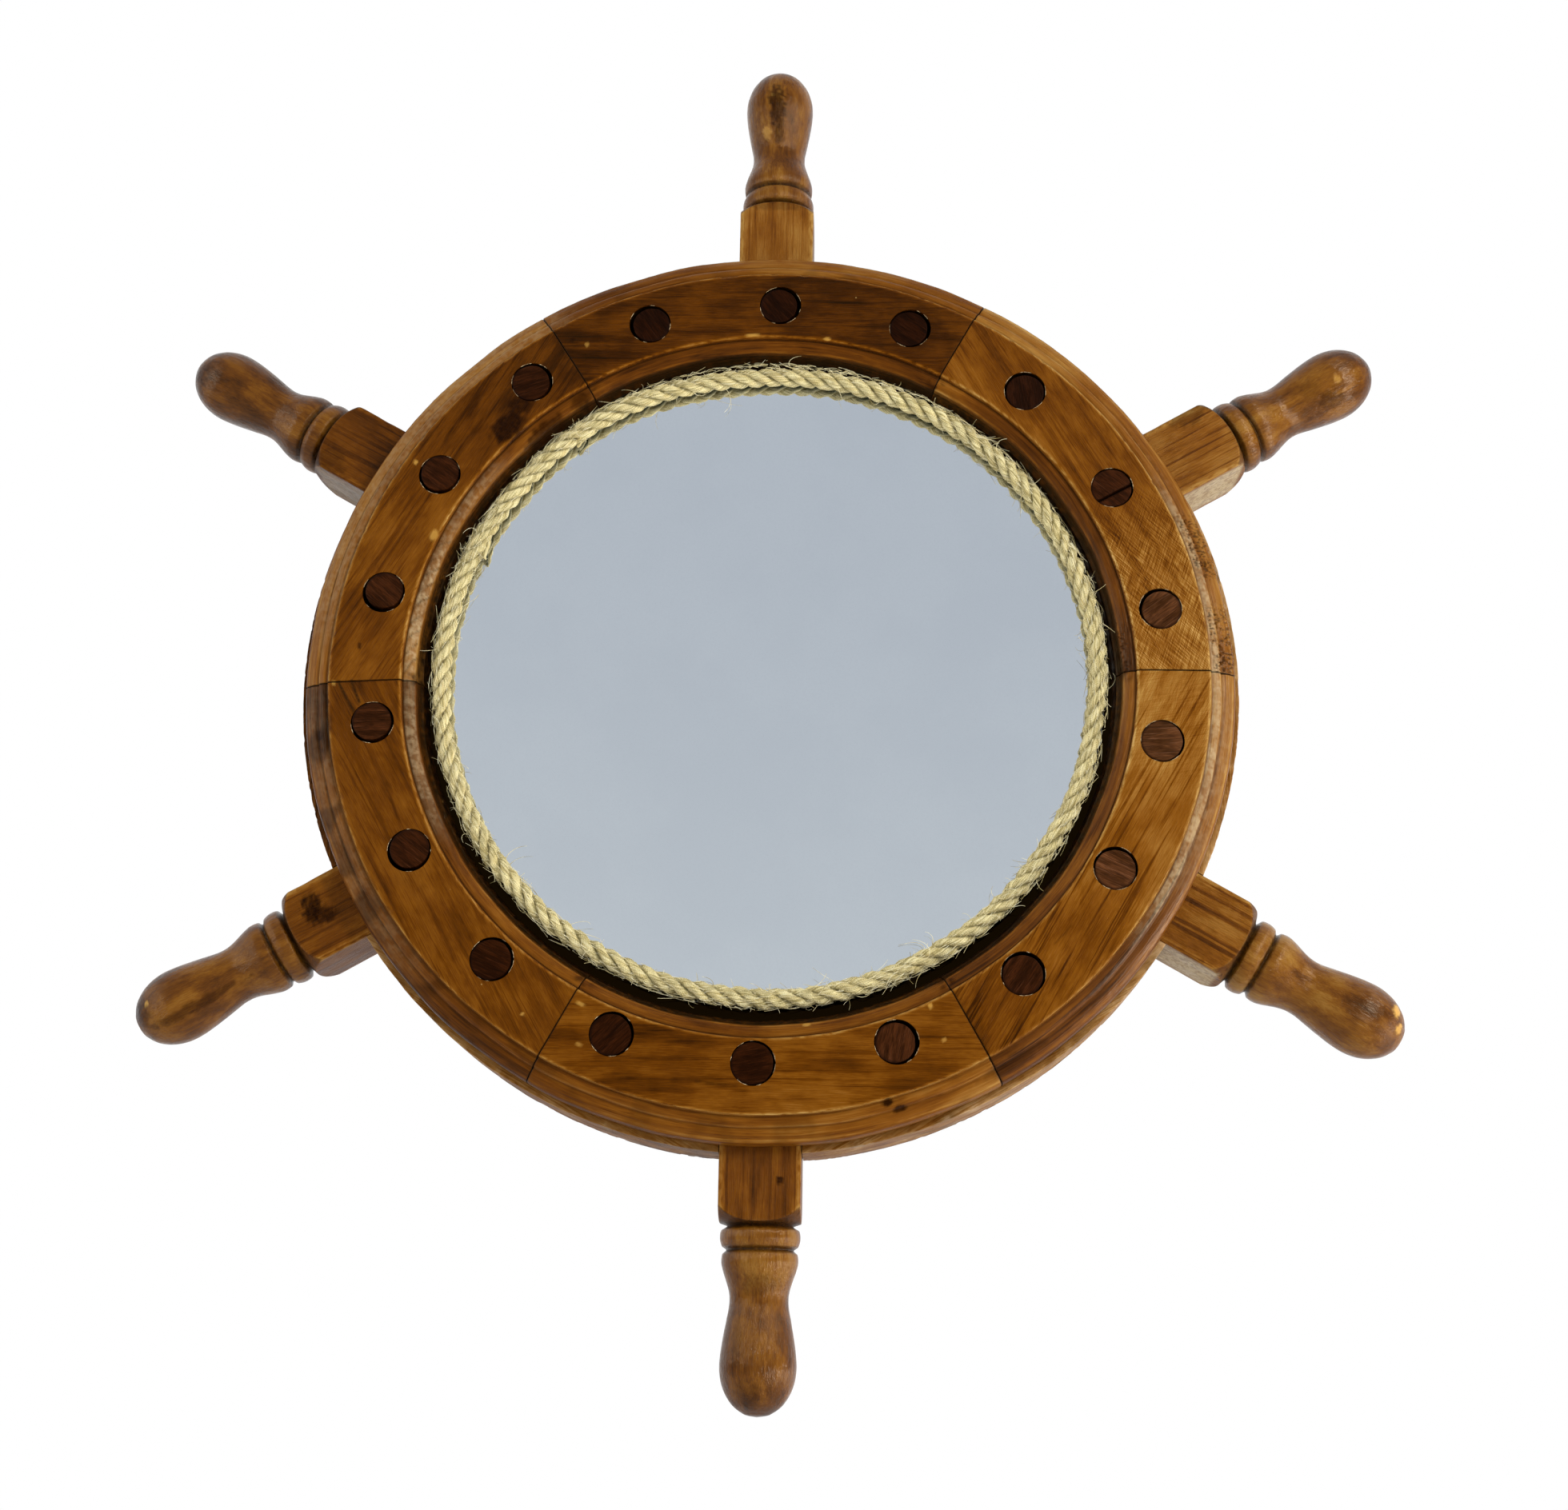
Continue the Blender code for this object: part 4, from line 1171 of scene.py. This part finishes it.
def add_rope(material, circle, size, middle_depth):
    steps = ROPE_TURNS * 26
    clock = np.linspace(0, 360, steps, endpoint=False) + ROPE_SEAM_CLOCK
    path = polar_points(clock, circle + 0 * clock, middle_depth + 0 * clock)
    from_top = (clock + 180) % 360 - 180
    sag = 0.5 + 1.4 * np.exp(-(from_top / 38) ** 2) + 0.8 * np.exp(-((from_top - 4) / 12) ** 2)
    radius = circle - sag + 0.9 * rough(path, 45.0, 11.0)
    thick = size * (1 + 0.05 * rough(path, 20.0, 13.0))
    depth = middle_depth - 0.25 + 0.3 * rough(path, 30.0, 17.0)
    strands = [strand_mesh(clock, radius, depth, thick, 2 * math.pi * k / STRANDS, True)
               for k in range(STRANDS)]
    build_piece("laid_rope", rope_mesh("laid_rope", strands), [material], ["rope_trim"])

    share = np.linspace(0, 1, 40)
    strands = []
    for start, sweep, drop, scale in ROPE_TAILS:
        tail_clock = start + sweep * share
        tail_radius = circle - 1.2 - drop * share ** 1.6
        tail_depth = middle_depth - 0.8 + 1.0 * share
        tail_thick = size * scale * (1.0 - 0.35 * share ** 4)
        for k in range(STRANDS):
            strands.append(strand_mesh(tail_clock, tail_radius, tail_depth, tail_thick, 2.1 * k, False))
    build_piece("rope_tails", rope_mesh("rope_tails", strands), [material])


def fibre_path(dice, clock, circle, size, middle_depth, length, kind):
    """Centre line of one loose fibre that starts on the rope's surface."""
    outward, onward = clock_vectors(clock)
    lift = math.radians(dice.uniform(-20, 200))
    away = math.cos(lift) * outward + math.sin(lift) * FORWARD
    base = outward * circle + away * size * (0.98 if kind == "lying" else 0.80)
    base[1] += middle_depth
    lean = dice.choice((-1, 1)) * (dice.uniform(2.0, 7.0) if kind == "lying" else dice.uniform(0.3, 2.6))
    heading = away + lean * onward
    heading /= np.linalg.norm(heading)
    bend = np.array([dice.gauss(0, 1) for _ in range(3)]) * dice.uniform(0.4, 1.6)
    if kind == "lying":
        bend = 0.25 * bend - 0.4 * away
    if kind == "curl":
        bend = -onward * lean - away * dice.uniform(0.5, 2.0) + 0.5 * bend
    count = 5 + int(length / 2.0)
    path = [base]
    for _ in range(count - 1):
        heading = heading + bend * (1.6 / count)
        heading /= np.linalg.norm(heading)
        path.append(path[-1] + heading * length / (count - 1))
    return np.array(path)


def add_hairs(material, circle, size, middle_depth, floor):
    """Loose fibres standing off the rope, most of them short, and others lying along it."""
    dice = random.Random(SEED)
    spots = [(dice.uniform(0, 360), "standing") for _ in range(HAIRS // 5)]
    spots += [(dice.gauss(ROPE_SEAM_CLOCK - 1.5, 1.6), "standing") for _ in range(70)]
    spots += [(dice.gauss(-38.5, 2.0), "standing") for _ in range(60)]
    spots += [(dice.uniform(0, 360), "curl") for _ in range(110)]
    spots += [(dice.uniform(0, 360), "lying") for _ in range(HAIRS)]
    longest = {"standing": 7.0, "curl": 20.0, "lying": 11.0}
    parts, grain = [], []
    for number, (clock, kind) in enumerate(spots):
        length = dice.triangular(1.5, longest[kind], 8.0 if kind == "curl" else 2.5)
        path = fibre_path(dice, clock, circle, size, middle_depth, length, kind)
        path[:, 1] = np.minimum(path[:, 1], floor - 0.25)
        thick = dice.uniform(0.07, 0.10) if kind == "standing" else dice.uniform(0.10, 0.16)
        parts.append(tube_along(path, np.linspace(thick, 0.06, len(path)), 4))
        spread = np.repeat(np.linspace(0, length, len(path)), 4)
        grain.append(np.stack([spread, 0 * spread, 0 * spread], -1) + 7 * number)
    points, faces = joined(parts)
    mesh = raw_mesh("rope_fibres", points, faces)
    set_attribute(mesh, "grain", np.concatenate(grain))
    set_attribute(mesh, "wear", np.zeros((len(points), 3)))
    build_piece("rope_fibres", mesh, [material])


# ---------------- mirror, board, brads

def lathe_piece(name, profile, steps, material, node, place=(0.0, 0.0, 0.0), turn=None):
    """A turned solid; its profile is (radius, depth) along the wheel's axis until it is turned."""
    angle, radius, depth = turned_rings(profile, steps)
    local, faces = grid(np.stack([radius * np.cos(angle), depth, radius * np.sin(angle)], -1))
    points = local if turn is None else local @ turn.T
    mesh = raw_mesh(name, points + np.array(place), faces)
    set_attribute(mesh, "grain", local)
    return build_piece(name, mesh, [material], [node])


def disc_profile(radius, front, back, bevel):
    """A disc with bevelled edges, and rings of points across both faces."""
    inner = [(radius * t, front) for t in (0.002, 0.25, 0.5, 0.7, 0.85, 0.95)]
    rim = [(radius - bevel, front), (radius, front + bevel), (radius, back - bevel), (radius - bevel, back)]
    return inner + rim + [(r, back) for r, _ in inner[::-1]]


def add_disc(name, node, bevel, material):
    low, high = extent(node)
    profile = disc_profile((high[0] - low[0]) / 2, low[1], high[1], bevel)
    lathe_piece(name, profile, 192, material, node)


def add_brad(number, material):
    name = "retaining_brad_%d" % number
    points = node_points(name)
    outward, onward = clock_vectors(math.degrees(math.atan2(points[:, 0].mean(), points[:, 2].mean())))
    reach = points @ outward
    front, back = points[:, 1].min(), points[:, 1].max()
    size, length = (back - front) / 2, reach.max() - reach.min()
    profile = [(0.05, 0.0), (size * 0.75, 0.05), (size, 0.35), (size, 1.2), (size * 0.86, 1.5),
               (size * 0.86, length - 2.5), (0.08, length)]
    turn = np.stack([onward, outward, [0, 1, 0]], -1)
    place = outward * reach.min() + [0, (front + back) / 2, 0]
    lathe_piece("brad_%d" % number, profile, 24, material, name, place, turn)


# ---------------- hanger

def strap_outline(low, pivot, inner, outer):
    """Side view (depth, height) of the strap, rolled round the ring's wire at its top."""
    front, bottom = low[1], low[2]
    back = front + outer - inner
    sweep = np.radians(np.linspace(180, 180 - 290, 60))
    outside = [(pivot[0] + outer * math.cos(a), pivot[1] + outer * math.sin(a)) for a in sweep]
    inside = [(pivot[0] + inner * math.cos(a), pivot[1] + inner * math.sin(a)) for a in sweep[::-1]]
    foot = [(back, bottom + 1.0), (back - 0.3, bottom), (front + 0.3, bottom)]
    return np.array([(front, bottom + 1.0)] + outside + inside + foot)


def add_strap(material, wire, pivot):
    low, high = extent("hanger_strap")
    outline = strap_outline(low, pivot, wire + 0.4, pivot[0] - low[1])
    widths = np.array([-1.0, -0.94, -0.4, 0.0, 0.4, 0.94, 1.0]) * (high[0] - low[0]) / 2
    rings = []
    for x, inset in zip(widths, (0.18, 0.0, 0.0, 0.0, 0.0, 0.0, 0.18)):
        shape = outline - outline_normals(outline) * inset
        rings.append(np.stack([np.full(len(shape), x), shape[:, 0], shape[:, 1]], -1))
    brass_piece("rolled_strap", grid(np.array(rings)), material, "hanger_strap")


def brass_piece(name, shape, material, node, body="wheel"):
    mesh = raw_mesh(name, *shape)
    set_attribute(mesh, "grain", mesh_points(mesh)[:, [2, 0, 1]])
    build_piece(name, mesh, [material], [node], body)


def ring_path(ring, wire, depth, height, corner=3.0):
    """Centre line of the ring's wire: an arch that stands on a bar with round corners."""
    half_width = (ring[:, 0].max() - ring[:, 0].min()) / 2 - wire
    straight = ring[:, 2].max() - wire - height - half_width

    def arc(x, z, radius, first, last, steps):
        angle = np.radians(np.linspace(first, last, steps))
        return np.stack([x + radius * np.cos(angle), depth + 0 * angle,
                         height + z + radius * np.sin(angle)], -1)

    path = np.concatenate([
        arc(half_width - corner, corner, corner, -90, 0, 12),
        arc(0, straight, half_width, 0, 180, 72),
        arc(corner - half_width, corner, corner, 180, 270, 12),
    ])
    return np.concatenate([path, np.linspace(path[-1], path[0], 14)[1:-1]])


def add_hanger(material):
    ring = node_points("hanger_ring")
    wire = (ring[:, 1].max() - ring[:, 1].min()) / 2
    depth = (ring[:, 1].max() + ring[:, 1].min()) / 2
    height = (frame["joints"][0]["pos_m"][2] - CENTRE[2]) / MM
    add_strap(material, wire, (depth, height))

    path = ring_path(ring, wire, depth, height)
    tangent = np.roll(path, -1, 0) - np.roll(path, 1, 0)
    tangent /= np.linalg.norm(tangent, axis=1)[:, None]
    side = np.cross(tangent, -FORWARD)
    angle = round_angles(24)
    spread = side[:, None] * np.cos(angle)[:, None] - FORWARD * np.sin(angle)[:, None]
    shape = grid(path[:, None] + spread * wire, loop=True)
    brass_piece("hanging_ring", shape, material, "hanger_ring", body="hanger_ring")
    for number in (1, 2):
        add_hanger_screw(number, material)


def add_hanger_screw(number, material):
    """A domed screw with a cross slot and a short thread."""
    name = "hanger_screw_%d" % number
    low, high = extent(name)
    height = (low[2] + high[2]) / 2
    head = (high[2] - low[2]) / 2
    shank = 1.4
    neck = high[1] - 1.3
    dome = [(head * math.sin(a), high[1] - 0.9 * (1 - math.cos(a)))
            for a in np.radians(np.linspace(1, 78, 9))]
    profile = dome + [(head, neck + 0.25), (head - 0.15, neck), (shank, neck)]
    thread = np.arange(neck - 1.0, low[1] + 1.5, -0.35)
    profile += [(shank * (1.0 if i % 2 else 0.82), d) for i, d in enumerate(thread)]
    profile += [(0.1, low[1])]
    angle, radius, depth = turned_rings(profile, 48)
    x, z = radius * np.cos(angle), radius * np.sin(angle)
    spin = 0.5 + number
    u, v = x * math.cos(spin) + z * math.sin(spin), z * math.cos(spin) - x * math.sin(spin)
    slot = np.maximum(step_up(-np.abs(u), -0.42, -0.28) * (np.abs(v) < 1.7),
                      step_up(-np.abs(v), -0.42, -0.28) * (np.abs(u) < 1.7))
    depth = depth - 0.7 * slot * (depth > neck + 0.3)
    mesh = raw_mesh(name, *grid(np.stack([x, depth, z + height], -1)))
    set_attribute(mesh, "grain", mesh_points(mesh) + 20 * number)
    build_piece("hanger_screw_head_%d" % number, mesh, [material], [name])


# ---------------- studio

CAMERA_OFFSET = (0.0357, -0.8871, -0.2965)      # metres from the centre of the wheel's face
CAMERA_TILT = (106.15, -0.87, 1.56)             # degrees
CAMERA_LENS = 50.7
FLOOR_RADIUS = 1.5
FLOOR_DROP = 0.28                               # metres below the wheel
FRONT_SKY = (0.565, 0.605, 0.635)
HIGH_SKY = (0.50, 0.54, 0.585)
SIDE_SKY = (0.30, 0.31, 0.33)
CAMERA_SKY = (1.0, 1.0, 1.0)


def add_camera():
    """The main view: from below, a little to the right."""
    data = bpy.data.cameras.new("camera")
    data.lens = CAMERA_LENS
    camera = link(bpy.data.objects.new("camera", data))
    camera.location = Vector(CENTRE) + Vector(CAMERA_OFFSET)
    camera.rotation_euler = [math.radians(a) for a in CAMERA_TILT]
    bpy.context.scene.camera = camera


def add_light(name, azimuth, elevation, distance, size, watts, colour=(1.0, 1.0, 1.0)):
    """A soft panel aimed at the wheel; azimuth 0 is straight in front, 90 to the right."""
    data = bpy.data.lights.new(name, "AREA")
    data.shape = "RECTANGLE"
    data.size, data.size_y = size
    data.energy = watts
    data.color = colour
    light = link(bpy.data.objects.new(name, data))
    a, e = math.radians(azimuth), math.radians(elevation)
    towards = Vector((math.sin(a) * math.cos(e), -math.cos(a) * math.cos(e), math.sin(e)))
    light.location = Vector(CENTRE) + towards * distance
    light.rotation_euler = towards.to_track_quat("Z", "Y").to_euler()
    light.visible_camera = False


def add_world():
    """A white wall behind the wheel, and a grey-blue one in front of it that its mirror shows."""
    world = bpy.data.worlds.new("studio")
    bpy.context.scene.world = world
    g = Graph("studio", world)
    place = g.node("TexCoord").outputs["Generated"]

    def patch(direction, edge, core, base, colour):
        """A soft round patch of a colour over the base, centred on a direction."""
        dot = g.node("VectorMath", operation="DOT_PRODUCT")
        g.feed(dot.inputs[0], place)
        g.feed(dot.inputs[1], direction)
        return g.mix(g.ranged(dot.outputs["Value"], edge, core), base, colour)

    sky = patch((-0.03, -0.96, 0.278), 0.62, 0.86, SIDE_SKY, FRONT_SKY)
    sky = patch((0.0, -0.80, 0.60), 0.88, 0.98, sky, HIGH_SKY)
    sky = patch((-0.03, 0.96, 0.278), 0.40, 0.80, sky, CAMERA_SKY)
    g.surface(Color=sky)


def add_floor():
    """A pale round floor under the wheel."""
    g = Graph("pale_floor")
    place = g.node("NewGeometry").outputs["Position"]
    cloud = g.noise(g.scaled(place, (3.0, 3.0, 3.0)), 3.0)
    g.surface(Base_Color=g.mix(cloud, (0.80, 0.80, 0.80), (0.84, 0.84, 0.84)), Roughness=0.85)
    bm = bmesh.new()
    place = Matrix.Translation((CENTRE[0], CENTRE[1], CAD_BOX[0].z - FLOOR_DROP))
    bmesh.ops.create_circle(bm, cap_ends=True, segments=96, radius=FLOOR_RADIUS, matrix=place)
    mesh = bpy.data.meshes.new("floor")
    bm.to_mesh(mesh)
    bm.free()
    mesh.materials.append(g.material)
    link(bpy.data.objects.new("floor", mesh))


# ---------------- the whole

# Each spoke's handle and square, and each core block from its first end to its last
SPOKE_TONES = ((0.44, 0.60), (0.40, 0.50), (0.50, 0.51), (0.43, 0.43), (0.45, 0.48), (0.34, 0.31))
CORE_TONES = ((0.42, 0.50), (0.62, 0.68), (0.80, 0.62), (0.54, 0.62), (0.27, 0.27), (0.36, 0.42))
STREAKY_FELLOE = 3
OPEN_SPOKES = (2, 3)                # their square stock has an open grain
CRACKED_PEG = "peg_05"


def add_woodwork():
    quiet = wood_material("felloe_wood_quiet", figure=0.11, lines=0.08)
    streaky = wood_material("felloe_wood_streaky", figure=0.09, lines=0.17)
    turned = wood_material("turned_wood", figure=0.08, lines=0.05, fibres=0.09, mottle=0.11, relief=1.1,
                           roughness=0.24, tint=(0.97, 1.04, 0.95))
    squared = wood_material("squared_wood", figure=0.09, lines=0.10, relief=1.5)
    open_grain = wood_material("squared_wood_open", lines=0.19, relief=2.4)
    core_wood = wood_material("core_wood_look", relief=1.6, roughness=0.5, tint=(1.0, 1.05, 1.6))
    pegs = [Peg("peg_%02d" % n) for n in range(1, 19)]
    low, high = extent("spoke_1")
    half = (high[0] - low[0]) / 2
    middle_depth = (low[1] + high[1]) / 2

    for number in range(1, SPOKES + 1):
        add_felloe(number, pegs, streaky if number == STREAKY_FELLOE else quiet)
        looks = [turned, open_grain if number in OPEN_SPOKES else squared]
        add_spoke(number, pegs, looks, SPOKE_TONES[number - 1], half, middle_depth)
        add_block(number, pegs, core_wood, CORE_TONES[number - 1], half + 0.1)
    peg_looks = [peg_material(), glue_material()]
    for peg in pegs:
        add_peg(peg, peg_looks, cracked=peg.name == CRACKED_PEG)


def add_ropework():
    low, high = extent("rope_trim")
    size = (high[1] - low[1]) / 2
    circle = (high[0] - low[0]) / 2 - size
    depth = (high[1] + low[1]) / 2
    sisal = rope_material("sisal", deep=(0.22, 0.19, 0.075), pale=(1.0, 0.88, 0.48))
    add_rope(sisal, circle, size, depth)
    fibres = rope_material("loose_sisal", deep=(0.3, 0.3, 0.12), pale=(1.0, 0.95, 0.68))
    add_hairs(fibres, circle, size, depth, extent("mirror_glass")[0][1])


def main():
    add_woodwork()
    add_ropework()
    add_disc("silvered_mirror", "mirror_glass", 0.5, mirror_material())
    add_disc("hardboard_back", "backing_board", 0.3, hardboard_material())
    steel = metal_material("brad_steel_look", (0.60, 0.60, 0.61), (0.34, 0.31, 0.29), 0.34)
    for number in range(1, SPOKES + 1):
        add_brad(number, steel)
    add_hanger(metal_material("hanger_brass_look", (0.80, 0.58, 0.22), (0.44, 0.28, 0.10), 0.27))

    add_floor()
    add_world()
    add_light("key", 42, 20, 1.7, (0.20, 0.8), 17, (1.0, 0.97, 0.92))
    add_light("low_right", 80, -24, 1.1, (0.35, 0.35), 5.5, (1.0, 0.97, 0.93))
    add_light("left_panel", -66, 10, 1.8, (0.7, 1.0), 11, (1.0, 0.98, 0.95))
    add_camera()
    bpy.context.scene.view_settings.view_transform = "Standard"


main()
